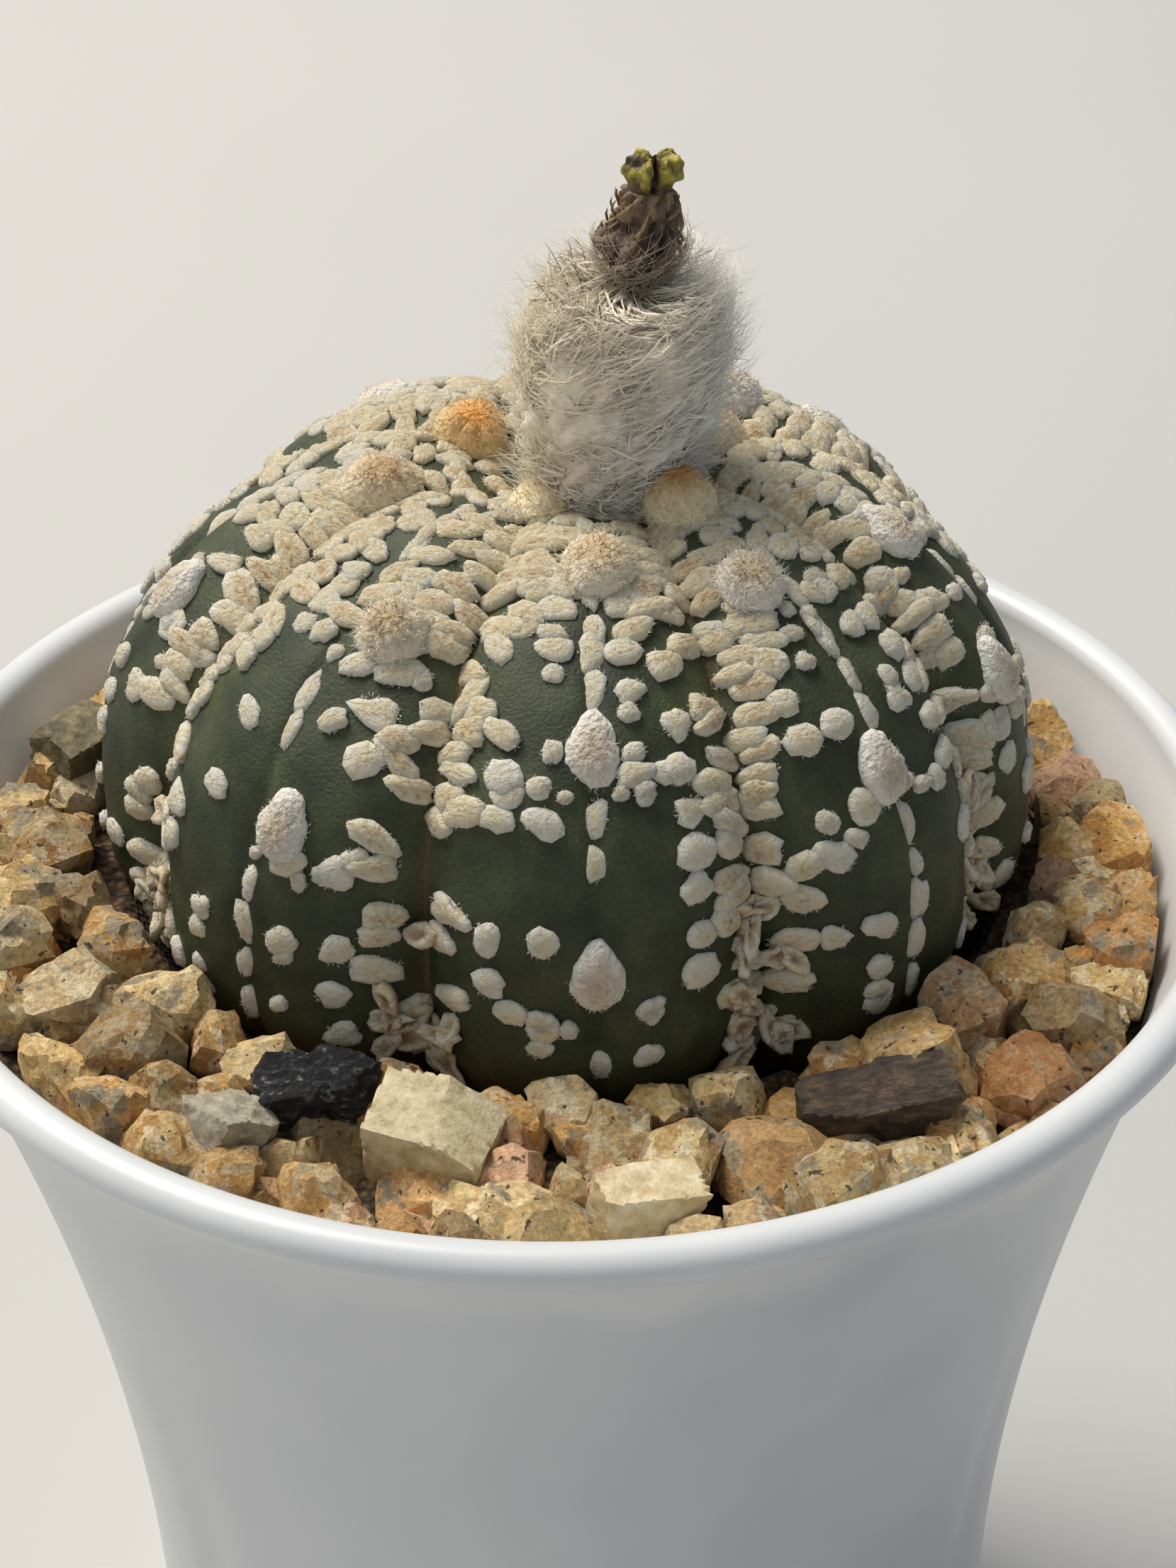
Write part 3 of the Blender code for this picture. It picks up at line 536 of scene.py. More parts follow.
# Felt of the flecks, and dried felt of the flakes and seams, from their brightest to their darkest
FELT_STOPS = ((0.0, "#F5F0E4"), (0.25, "#F8EDCF"), (0.5, "#F0DDB2"), (0.75, "#D2B080"), (1.0, "#8E6A44"))
DRIED_STOPS = ((0.0, "#FBF0D6"), (0.3, "#F0D8A8"), (0.65, "#BE9360"), (1.0, "#5A4129"))


def plant_felt(name, stops, sheen=0.3):
    """Plant hair matted to felt: soft and without gloss, light scatters inside it. Its colour
    runs through the stops as the attribute tone grows, with streaks along the attribute ray and
    patches 0.4 mm across, and both stand up as its nap. Where the nap lies low the colour is
    darker, as painted shade between the fibres, and where it stands high it is lighter."""
    made, add, place = new_material(
        name, Roughness=0.9, Sheen_Weight=sheen, Sheen_Roughness=0.6, Subsurface_Weight=0.3,
        Subsurface_Radius=(1, 0.85, 0.65), Subsurface_Scale=0.3 * MM)
    tone = add("Attribute", attribute_name="tone")
    ray = add("Attribute", attribute_name="ray")
    rays = add("TexNoise", {"Vector": ray.outputs["Vector"], "Scale": 2.6, "Detail": 4, "Roughness": 0.6})
    fibres = add("TexNoise", {"Vector": place, "Scale": 2600, "Detail": 5, "Roughness": 0.7})
    strong = add("MapRange", {
        "Value": rays, "From Min": 0.25, "From Max": 0.75, "To Min": 0.1, "To Max": 0.9})
    nap = add("Math", {0: strong, 1: fibres}, operation="ADD")
    # Painted shade and light: the lower the nap stands, the darker the colour, and the higher, the lighter.
    shifted = add("MapRange", {
        "Value": nap, "From Min": 0.6, "From Max": 1.4, "To Min": 0.34, "To Max": -0.3})
    total = add("Math", {0: tone.outputs["Fac"], 1: shifted}, operation="ADD")
    colour = add("ValToRGB", {"Fac": total}, stops=stops)
    return finish_shader(made, colour, nap, 0.4 * MM)


def tinted_wool(name, scale=1500, nap=0.04 * MM):
    """Plant wool and hair, dried: without gloss, in the colour of the attribute tint, darker and
    lighter in streaks a few hairs wide."""
    made, add, place = new_material(name, Roughness=0.9, Sheen_Weight=0.08, Sheen_Roughness=0.5)
    tint = add("Attribute", attribute_name="tint")
    streaks = add("TexNoise", {"Vector": place, "Scale": scale, "Detail": 4})
    shade = add("MapRange", {
        "Value": streaks, "From Min": 0.25, "From Max": 0.75, "To Min": 0.84, "To Max": 1.1})
    colour = add("VectorMath", {0: tint.outputs["Color"], 1: shade}, operation="MULTIPLY")
    return finish_shader(made, colour, streaks, nap)


def dried_petals():
    """Flower petals dried and twisted: dark brown paper in long folds, with a dull shine painted
    lighter on their ridges and darker in the folds between them, and yellow-brown strips."""
    made, add, place = new_material("dried_petals", Roughness=0.6)
    turned = add("Mapping", {"Vector": place, "Scale": (1.0, 1.0, 0.3)})
    folds = add("TexNoise", {
        "Vector": turned, "Scale": 1500, "Detail": 5, "Roughness": 0.7, "Distortion": 0.6})
    tone = add("Attribute", attribute_name="tone")
    # Painted highlight and shade: the folds noise that makes the bump also lightens the colour where it
    # stands up.
    total = add("Math", {0: folds, 1: tone.outputs["Fac"]}, operation="ADD")
    colour = add("ValToRGB", {"Fac": total}, stops=(
        (0.3, "#33241A"), (0.5, "#6C5643"), (0.7, "#967C62"), (1.0, "#BFA868")))
    return finish_shader(made, colour, folds, 0.35 * MM)


def cut_flower_end():
    """Flower tube, cut and drying: moist yellow-green flesh in the lobes, almost black inside and
    dark red-brown at the torn edges, as the attribute tone grows. The tone also carries painted
    light and shade: lighter on the crumpled ridges, darker in the dents and in the groove between
    the lobes."""
    made, add, place = new_material(
        "cut_flower_end", Roughness=0.5, Subsurface_Weight=0.12, Subsurface_Radius=(1, 0.9, 0.3),
        Subsurface_Scale=0.5 * MM)
    tone = add("Attribute", attribute_name="tone")
    grains = add("TexNoise", {"Vector": place, "Scale": 1700, "Detail": 4})
    shifted = add("MapRange", {"Value": grains, "To Min": -0.25, "To Max": 0.25})
    total = add("Math", {0: tone.outputs["Fac"], 1: shifted}, operation="ADD")
    colour = add("ValToRGB", {"Fac": total}, stops=(
        (0.05, "#AA9C3A"), (0.3, "#7C6F2A"), (0.6, "#4A3619"), (0.9, "#1C120A")))
    return finish_shader(made, colour, grains, 0.25 * MM)


def painted_board():
    """Painted board for the floor: even and matt, with a very faint cloud in its grey."""
    made, add, place = new_material("painted_board", Roughness=0.8)
    clouds = add("TexNoise", {"Vector": place, "Scale": 6, "Detail": 2})
    colour = add("Mix", {
        "Factor": clouds, COLOUR_A: linear("#C6C5C2"), COLOUR_B: linear("#C0BFBC")}, data_type="RGBA")
    return finish_shader(made, colour.outputs[COLOUR_OUT], clouds, 0.05 * MM, 0.2)


# The pot

POT_COLUMNS = 240
WALL_ROWS = 44
CRISP_POT = math.radians(40)
DRILL_SIDES = 28
DRILL_ENDS = (-5 * MM, 9 * MM)


def pot_radius(z):
    """Outer radius of the wall: a straight cup that opens towards the rim as a parabola."""
    return FOOT_RADIUS + FLARE_WIDTH * np.maximum(0, 1 - (POT_HEIGHT - z) / FLARE_DEPTH) ** 2


def make_pot(finish):
    """The pot as a profile turned round its axis.

    The profile runs from the recess under the floor over the foot ring, up the wall, round the lip,
    which is half an ellipse, and down the inner wall to the floor. On the wall each radius loses
    CREASE_DEPTH times a fade times max(0, cos(CREASES * angle)) ** CREASE_SHARPNESS.
    """
    foot_inside = FOOT_RADIUS - FOOT_RING_WIDTH
    bevel_width, bevel_height = FOOT_BEVEL
    bend = np.linspace(0, math.pi / 2, 7)[1:-1]
    foot = np.array([
        (0.3 * foot_inside, RECESS), (0.8 * foot_inside, RECESS), (foot_inside - RECESS / 2, RECESS),
        (foot_inside - 0.2 * MM, 0.1 * MM), (foot_inside + 0.3 * MM, 0.0), (FOOT_RADIUS - bevel_width, 0.0)])
    bevel = np.stack([
        FOOT_RADIUS - bevel_width * (1 - np.sin(bend)), bevel_height * (1 - np.cos(bend))], -1)
    levels = np.concatenate([
        np.linspace(bevel_height, POT_HEIGHT - 3.4 * MM, WALL_ROWS), POT_HEIGHT - np.array([2.8, 2.4]) * MM])
    wall = np.stack([pot_radius(levels), levels], -1)
    sweep = np.radians(np.linspace(-62, 180, 26))
    lip = np.stack([
        RIM_RADIUS - LIP_HALF_WIDTH * (1 - np.cos(sweep)),
        POT_HEIGHT - LIP_HALF_HEIGHT * (1 - np.sin(sweep))], -1)
    under = np.array([[pot_radius(POT_HEIGHT) - 0.35 * MM, POT_HEIGHT - LIP_HEIGHT - 0.25 * MM]])
    down = np.linspace(POT_HEIGHT - LIP_HEIGHT, FLOOR + 1.2 * MM, 30)
    inner = np.stack([pot_radius(down) - WALL, down], -1)
    floor = np.array([
        (FOOT_RADIUS - WALL - 0.5 * MM, FLOOR + 0.3 * MM), (FOOT_RADIUS - WALL - 1.5 * MM, FLOOR),
        (18 * MM, FLOOR), (9 * MM, FLOOR)])
    profile = np.concatenate([foot, bevel, wall, under, lip, inner, floor])
    angle = ring_angles(POT_COLUMNS)
    fade = np.clip((POT_HEIGHT - CREASE_START - profile[:, 1]) / CREASE_FADE, 0, 1)
    fade[:len(foot)] = 0
    fade[len(foot) + len(bevel) + len(wall):] = 0
    near = np.maximum(0, np.cos(CREASES * (angle - CREASE_PHASE))) ** CREASE_SHARPNESS
    radius = profile[:, :1] - CREASE_DEPTH * fade[:, None] * near
    rings = np.stack([
        radius * np.cos(angle), radius * np.sin(angle), np.broadcast_to(profile[:, 1:], radius.shape)], -1)
    points = with_poles(rings[None], np.array([[0, 0, RECESS]]), np.array([[0, 0, FLOOR]]))
    pot = make_piece(
        "pot_shell", points, capped_faces(len(profile), POT_COLUMNS), finish, "white_plastic", "pot")
    drill_holes(pot)
    pot.data.shade_smooth()
    pot.data.set_sharp_from_angle(angle=CRISP_POT)


def drill_holes(pot):
    """Cut round holes through the floor: straight tubes of points on a circle, as one cutter."""
    turns = (np.arange(DRAIN_HOLES) + 0.5) * TAU / DRAIN_HOLES
    centres = DRAIN_CIRCLE * np.stack([np.cos(turns), np.sin(turns)], -1)
    angle = ring_angles(DRILL_SIDES)
    ring = DRAIN_RADIUS * np.stack([np.cos(angle), np.sin(angle)], -1)
    shape = (DRAIN_HOLES, 2, DRILL_SIDES)
    flat = centres[:, None, None] + np.broadcast_to(ring, (*shape, 2))
    height = np.broadcast_to(np.array(DRILL_ENDS)[None, :, None, None], (*shape, 1))
    ends = [np.concatenate([centres, np.full((DRAIN_HOLES, 1), z)], 1) for z in DRILL_ENDS]
    points = with_poles(np.concatenate([flat, height], -1), *ends).reshape(-1, 3)
    faces = repeated(capped_faces(2, DRILL_SIDES), DRAIN_HOLES, 2 * DRILL_SIDES + 2)
    mesh = bpy.data.meshes.new("drill")
    mesh.from_pydata(points.tolist(), [], [f.tolist() for face in faces for f in face])
    drill = put_in_scene("drill", mesh)
    step = pot.modifiers.new("holes", "BOOLEAN")
    step.operation, step.solver, step.object = "DIFFERENCE", "EXACT", drill
    bpy.context.view_layer.update()
    graph = bpy.context.evaluated_depsgraph_get()
    result = bpy.data.meshes.new_from_object(pot.evaluated_get(graph))
    pot.modifiers.remove(step)
    pot.data = result
    bpy.data.objects.remove(drill, do_unlink=True)


# The plant's skin

RIB_COLUMNS = 32
ROOT_ROWS = 12
FRAME_STEP = 0.02


def body_point(angle, turn, groove=0.0):
    """Points of the plant's skin, for whole arrays: part.py's formula.

    The outline is a superellipse: radius BODY_WIDTH * sin(turn) ** p and height |cos(turn)| ** p
    with p = 2 / ROUNDNESS, less a dip at the crown. groove moves a point inwards along
    (sin(turn), cos(turn)), and the crown is shifted by its height's share ** CROWN_SHIFT_POWER.
    """
    power = 2 / ROUNDNESS
    across = np.abs(np.sin(turn)) ** power
    rise = np.sign(np.cos(turn)) * np.abs(np.cos(turn)) ** power
    radius = across * BODY_WIDTH
    dip = np.where(rise > 0, CROWN_DIP * np.exp(-(radius / CROWN_DIP_RADIUS) ** 2), 0)
    depth = groove * GROOVE_DEPTH * np.minimum(1, across * GROOVE_GAIN)
    z = rise * np.where(rise > 0, CROWN_RISE, BASE_DROP) - dip - depth * np.cos(turn)
    radius = radius - depth * np.sin(turn)
    shift = np.maximum(0, rise) ** CROWN_SHIFT_POWER
    x = BODY_CENTRE[0] + shift * CROWN_SHIFT[0] + radius * np.sin(angle)
    y = BODY_CENTRE[1] + shift * CROWN_SHIFT[1] - radius * np.cos(angle) * BODY_LENGTH / BODY_WIDTH
    return np.stack(np.broadcast_arrays(x, y, BODY_CENTRE[2] + z), -1)


def rib_angle(rib, across):
    """Angle round the plant: -1 and 1 are the grooves half way to the rib's neighbours."""
    gap = np.where(across > 0, RIB_GAPS[rib], RIB_GAPS[rib - 1])
    return np.radians(RIB_BEARINGS[rib] + across * gap / 2)


def on_rib(rib, across, turn):
    """Point of the skin on a rib: the groove's depth is |across| ** GROOVE_SHARPNESS, deeper at
    its foot by BASE_NOTCH, plus a fine line down the rib's middle as a Gaussian; it fades out
    under the ground."""
    fade = np.interp(turn, GROOVE_FADE, (1.0, 0.0))
    notch = 1 + BASE_NOTCH * smooth_step(turn, 0.95, 1.6)
    line = MIDDLE_LINE * np.exp(-(across / MIDDLE_LINE_WIDTH) ** 2) * smooth_step(turn, 0.3, 0.8)
    groove = np.abs(across) ** GROOVE_SHARPNESS * notch + line
    return body_point(rib_angle(rib, across), turn, groove * fade)


def skin_frame(rib, across, turn):
    """Points of the skin with their outward normals and their ways round and down: differences of
    on_rib over small steps, and their cross product."""
    step = FRAME_STEP
    down = on_rib(rib, across, turn + step) - on_rib(rib, across, turn - step)
    left, right = np.maximum(-1, across - step), np.minimum(1, across + step)
    round_ = on_rib(rib, right, turn) - on_rib(rib, left, turn)
    normal = unit(np.cross(round_, -down))
    down = unit(down)
    return on_rib(rib, across, turn), normal, np.cross(down, normal), down


def make_skin(finish):
    """The ribbed skin and its root as one grid: the columns of a rib crowd towards its middle and
    its grooves (across is u - 0.7 sin(2 pi u) / (2 pi) of an even step u), and the rows run from
    the root's tip to the crown. A ripple of 0.12 mm makes the skin uneven."""
    steps = np.linspace(-1, 1, RIB_COLUMNS + 1)[:-1]
    across = np.tile(steps - 0.7 * np.sin(TAU * steps) / TAU, RIBS)
    rib = np.repeat(np.arange(RIBS), len(steps))
    turns = np.concatenate([np.linspace(2.35, 1.9, 8), np.linspace(1.86, 0.06, 104), [0.03]])
    turn, column = np.meshgrid(turns, np.arange(len(rib)), indexing="ij")
    skin = on_rib(rib[column], across[column], turn)
    skin = skin + unit(skin - np.array(BODY_CENTRE)) * (0.12 * MM * ripple(skin, 7 * MM, 31))[..., None]
    angle = rib_angle(rib, across)
    share = np.linspace(1.0, 0.12, ROOT_ROWS)
    size = ROOT_RADIUS * np.interp(share, *zip(*ROOT_TAPER))
    neck = BODY_CENTRE[2] - BASE_DROP
    root = np.stack([
        BODY_CENTRE[0] + size[:, None] * np.sin(angle), BODY_CENTRE[1] - size[:, None] * np.cos(angle),
        np.broadcast_to((neck - share * ROOT_LENGTH)[:, None], (ROOT_ROWS, len(angle)))], -1)
    rings = np.concatenate([root, skin])
    tip = np.array([[BODY_CENTRE[0], BODY_CENTRE[1], neck - ROOT_LENGTH - 1.5 * MM]])
    points = with_poles(rings[None], tip, body_point(0.0, 0.0)[None])
    upper = 1 - smooth_step(turn, 0.95, 1.45)
    olive = smooth_step(np.abs(across[column]), 0.35, 0.85) * upper * 0.16
    olive = olive + 0.1 * upper * np.clip(ripple(skin, 9 * MM, 8), 0, 1) + 0.08
    dry = smooth_step(np.abs(across[column]), 0.93, 0.995) * 0.7 + smooth_step(turn, 1.55, 1.8) * 0.5
    olive = np.concatenate([np.zeros(root.shape[:2]), np.clip(olive, 0, 1)]).ravel()
    dry = np.concatenate([np.ones(root.shape[:2]), np.clip(dry, 0, 1)]).ravel()
    make_piece("skin", points, capped_faces(*rings.shape[:2]), finish, *ON_PLANT,
               olive=np.append(olive, (0, 0.5)), dry=np.append(dry, (1, 0.2)))


# Flecks, pads and flakes of wool on the skin. The profiles give the share of the outline and the
# lift of each ring of a mound, between its two poles.

FLECK_PROFILE = ((0, -0.8), (0.92, -0.6), (1.0, 0.3), (0.72, 0.88), (0, 1.0))
PAD_PROFILE = (
    (0, -1.0), (0.92, -0.4), (1.0, 0.05), (0.96, 0.32), (0.84, 0.6), (0.64, 0.82), (0.4, 0.95), (0.16, 1.0),
    (0, 1.0))
FLAKE_PROFILE = ((0, -0.5), (0.9, -0.3), (1.0, 0.3), (0.72, 0.6), (0.35, 0.3), (0, 0.1))
UNEVEN_LIFT = 0.16
FLECK_SIDES = 14
PAD_SIDES = 30
FLAKE_SIDES = 12
LOWEST_FLECK = 1.76
NEEDLES = 56
RIM_NEEDLES = 40
NEEDLE_THICKNESS = 0.11 * MM
PAD_HAIR_THICKNESS = 0.1 * MM
PAD_HAIR_STEPS = 4
FLAKES_EACH = 24
SEAM_STEPS = 90
SEAM_SIDES = 5


def mound_faces(profile, sides, count):
    """Faces of that many mounds: a ring for each entry of the profile between its two poles."""
    rows = len(profile) - 2
    return repeated(capped_faces(rows, sides), count, rows * sides + 2)


def mounds(place, size, turned, height, profile, sides, outline, jag, seed):
    """Closed mounds or flakes on the skin, as points (mound, row and column, xyz).

    place is the skin's frame at each mound: point, normal, way round and way down. Ring k of a
    mound lies at the share of its outline and at the lift that profile gives, and its poles at the
    lifts of the profile's first and last entry. Its outline is the half size times a function of
    the angle, with a seeded jitter, turned in the skin's plane.
    """
    point, normal, side, down = place
    count = len(point)
    draw = np.random.default_rng(seed)
    angle = ring_angles(sides)
    egg = draw.normal(0, jag, (2, count, 1)) * 0.6
    reach = outline(angle) * (1 + jag * draw.uniform(-1, 1, (count, sides)))
    reach = reach + egg[0] * np.cos(angle + 1) + egg[1] * np.cos(3 * angle)
    across, along = size[:, :1] * np.cos(angle) * reach, size[:, 1:] * np.sin(angle) * reach
    cos, sin = np.cos(turned)[:, None], np.sin(turned)[:, None]
    flat = ((cos * across - sin * along)[..., None] * side[:, None]
            + (sin * across + cos * along)[..., None] * -down[:, None])
    (_, low), *middle, (_, high) = profile
    share, lift = np.array(middle).T
    uneven = UNEVEN_LIFT * draw.uniform(-1, 1, (count, len(share), sides))
    lift = lift[None, :, None] + uneven * (share * (share < 0.99))[:, None]
    rings = (point[:, None, None] + share[:, None, None] * flat[:, None]
             + (height[:, None, None] * lift)[..., None] * normal[:, None, None])
    poles = [point + normal * (height * end)[:, None] for end in (low, high)]
    return with_poles(rings, *poles)


def mound_rays(draw, count, rings, sides):
    """A direction for the streaks at each point of mounds: (cos, sin) of its angle on the rings and
    0 at the poles, with a number of its own for each mound."""
    angle = ring_angles(sides)
    ray = np.zeros((count, rings * sides + 2, 3))
    ray[:, :-2, :2] = np.tile(np.stack([np.cos(angle), np.sin(angle)], -1), (rings, 1))
    ray[..., 2] = draw.uniform(0, 50, (count, 1))
    return ray


def rounded_square(power):
    """Outline of a superellipse: 1 / (|cos| ** power + |sin| ** power) ** (1 / power)."""
    return lambda angle: (np.abs(np.cos(angle)) ** power + np.abs(np.sin(angle)) ** power) ** (-1 / power)


def teardrop(angle):
    """A circle with a point upwards: 1 + 0.38 * max(0, sin) ** 6."""
    return 1 + 0.38 * np.maximum(0, np.sin(angle)) ** 6


def fleck_table():
    """Every fleck of part.py, from the same seeded draws in the same order: rib, cell, place
    across the rib, turn, scale across and down, and skew."""
    draw = random.Random(FLECK_SEED)
    rows = []
    for column in range(RIBS * CELLS):
        rib, cell = divmod(column, CELLS)
        in_chain = cell == MIDDLE_CELL
        often = CHAIN_OFTEN if in_chain else GROOVES_OFTEN if cell in GROOVE_CELLS else FLANKS_OFTEN
        for row in range(SKIN_ROWS - 2, -1, -1):
            luck = draw.random()
            level = ROW_STEP * (row + 1.5)
            on_pad = in_chain and any(abs(level - turn) < PAD_ROOM for _, turn in RIB_PADS[rib])
            if row < FIRST_FLECK_ROW or on_pad or luck > np.interp(row, (0, SKIN_ROWS - 2), often):
                continue
            cx, cy = (0.5 + draw.uniform(-FLECK_JITTER, FLECK_JITTER) for _ in range(2))
            wide, tall = (draw.uniform(*FLECK_SIZES) for _ in range(2))
            skew = draw.uniform(-FLECK_SKEW, FLECK_SKEW)
            left, right = CELL_EDGES[cell:cell + 2]
            rows.append((rib, cell, left + (right - left) * cx, ROW_STEP * (row + 2 - cy), wide, tall, skew))
    return np.array(rows)


def extra_flecks(seed):
    """Flecks between part.py's, with fleck_table's columns: more in the grooves, a close cover by
    the crown, small ones beside the chains of the upper half, and arms out from under each pad."""
    draw = np.random.default_rng(seed)
    axes = np.meshgrid(np.arange(RIBS), np.arange(CELLS), np.arange(1, 16), indexing="ij")
    rib, cell, row = (axis.ravel() for axis in axes)
    count = len(row)
    turn = ROW_STEP * (row + 1) + draw.uniform(-0.02, 0.02, count)
    in_groove, by_chain = np.isin(cell, GROOVE_CELLS), np.isin(cell, BESIDE_CHAIN)
    chance = np.where(in_groove, np.interp(turn, (0.2, 0.9, 1.2, 1.7), (0.95, 0.7, 0.5, 0.4)),
                      np.interp(turn, (0.5, 0.8), (0.9, 0.0)))
    beside = np.interp(turn, (0.5, 1.0, 1.1, 1.45, 1.55), (0.8, 0.5, 0.0, 0.0, 0.8))
    chance = np.where(by_chain & (turn > 0.5), beside, chance)
    keep = draw.random(count) < chance
    left, right = np.array(CELL_EDGES)[cell], np.array(CELL_EDGES)[cell + 1]
    across = left + (right - left) * draw.uniform(0.35, 0.65, count)
    scale = draw.uniform(*FLECK_SIZES, (2, count)) * np.where(by_chain & (turn > 0.6), 0.82, 1.0)
    skew = draw.uniform(-FLECK_SKEW, FLECK_SKEW, count)
    between = np.stack([rib, cell, across, turn, *scale, skew], -1)[keep]
    pads = np.array([(rib, *place) for rib, places in enumerate(RIB_PADS) for place in places])
    arms = pad_arms(draw, pads)
    table = np.concatenate([between, arms[draw.random(len(arms)) < 0.8]])
    return np.concatenate([table, crown_cover(draw, np.concatenate([table, fleck_table()]), pads)])


def pad_arms(draw, pads):
    """Six small flecks out from under each pad, across and down from its middle by PAD_ARMS,
    farther across near the crown where the rib is narrow."""
    rib, across, turn = np.repeat(pads, len(PAD_ARMS), 0).T
    out, drop = np.tile(PAD_ARMS, (len(pads), 1)).T
    count = len(out)
    far = 1.0 / np.interp(turn, (0.4, 1.2), (0.75, 1.0))
    size = draw.uniform(0.75, 1.0, (2, count)) * np.interp(np.abs(out), (0.15, 0.44), (0.82, 1.0))
    return np.stack([
        rib, np.where(out < 0, *BESIDE_CHAIN), np.clip(across + out * far, -0.9, 0.9),
        turn + drop + draw.uniform(-0.03, 0.03, count), *size, draw.uniform(-0.2, 0.2, count)], -1)


def crown_cover(draw, table, pads):
    """Flecks in the free places round the crown: random places on the ribs, each kept if it is
    CROWN_SPACING away from all flecks and those kept before, and farther from the pads."""
    taken = on_rib(table[:, 0].astype(int), table[:, 2], table[:, 3])
    pads = on_rib(pads[:, 0].astype(int), pads[:, 1], pads[:, 2])
    rib = draw.integers(0, RIBS, CROWN_TRIES)
    across, turn = draw.uniform(-0.95, 0.95, CROWN_TRIES), draw.uniform(0.1, 0.66, CROWN_TRIES)
    rows = []
    for row, place in enumerate(on_rib(rib, across, turn)):
        clear = np.linalg.norm(taken - place, axis=1).min() > CROWN_SPACING
        if clear and np.linalg.norm(pads - place, axis=1).min() > CROWN_PAD_SPACING:
            taken = np.concatenate([taken, place[None]])
            cell = FLANK_CELLS[0] if across[row] < 0 else FLANK_CELLS[1]
            rows.append((rib[row], cell, across[row], turn[row], 0.95, 0.95, draw.uniform(-0.3, 0.3)))
    return np.array(rows)


def groove_like(cell, turn):
    """How far a fleck is of the long kind of the grooves: all are in the grooves, and near the
    crown the others too."""
    outer = np.isin(cell, FLANK_CELLS) * (1 - smooth_step(turn, 0.55, 1.0))
    inner = np.isin(cell, BESIDE_CHAIN) * (1 - smooth_step(turn, 0.25, 0.6))
    return np.where(np.isin(cell, GROOVE_CELLS), 1.0, outer + inner)


def fleck_sizes(table):
    """Half sizes in metres: by kind of cell, times the draws."""
    cell, turn = table[:, 1].astype(int), table[:, 3]
    long_ = groove_like(cell, turn)[:, None]
    half = np.array(FLANK_HALF) * (1 - long_) + np.array(GROOVE_HALF) * long_
    half = np.where((cell == MIDDLE_CELL)[:, None], CHAIN_HALF, half) * MM
    return half * (table[:, 4:6] * 1.6 - 0.6) * np.interp(turn, (0.2, 0.6), (0.84, 1.0))[:, None]


def make_flecks(felt, fuzz_felt):
    """All flecks as mounds, and their fuzz as fine needles. Those in the grooves are longer and
    lie a little off their cell's middle, and the middle of a fleck is browner than its edge."""
    table = np.concatenate([fleck_table(), extra_flecks(17)])
    table = table[table[:, 3] < LOWEST_FLECK]
    rib, cell, across, turn = table[:, 0].astype(int), table[:, 1].astype(int), table[:, 2], table[:, 3]
    groove, chain = np.isin(cell, GROOVE_CELLS), cell == MIDDLE_CELL
    draw = np.random.default_rng(41)
    count = len(table)
    shifted = np.sign(across) * np.clip(np.abs(across) + draw.normal(-0.03, 0.06, count), 0.66, 0.95)
    across = np.where(groove & (turn > 0.5), shifted, across)
    place = skin_frame(rib, across, turn)
    size = fleck_sizes(table)
    arch = np.where(groove | chain, 0.0, -0.35 * np.sign(across))
    turned = table[:, 6] * 2 + arch + draw.normal(0, np.where(groove, 0.24, 0.1), count)
    height = np.where(groove, 0.5, 0.42) * MM * draw.uniform(0.8, 1.3, count)
    points = mounds(
        place, size, turned, height, FLECK_PROFILE, FLECK_SIDES, rounded_square(2.2), 0.13, 42)
    long_ = groove_like(cell, turn)
    edge = 0.02 + 0.14 * long_ + 0.08 * (1 - smooth_step(turn, 0.5, 0.9)) + draw.uniform(-0.05, 0.07, count)
    middle = edge + draw.uniform(0.2, 0.42, count) + draw.uniform(0.0, 0.16, count) * long_
    ray = mound_rays(draw, count, 3, FLECK_SIDES)
    rings = np.stack([edge, edge, 0.55 * edge + 0.45 * middle], -1)
    tone = np.concatenate([np.repeat(rings, FLECK_SIDES, 1), edge[:, None], middle[:, None]], 1)
    paths = fleck_needles(draw, place, size, turned, height)
    for some, flecks, fuzz in (
            (~groove, "flank_flecks", "flank_fuzz"), (groove, "groove_flecks", "groove_fuzz")):
        faces = mound_faces(FLECK_PROFILE, FLECK_SIDES, some.sum())
        make_piece(flecks, points[some], faces, felt, *ON_PLANT,
                   tone=tone[some].ravel(), ray=ray[some].reshape(-1, 3))
        hairs, hair_faces = strands(paths[some].reshape(-1, 2, 3), NEEDLE_THICKNESS, 43)
        make_piece(fuzz, hairs, hair_faces, fuzz_felt, *ON_PLANT,
                   tone=np.repeat(edge[some] - 0.05, NEEDLES * 4))


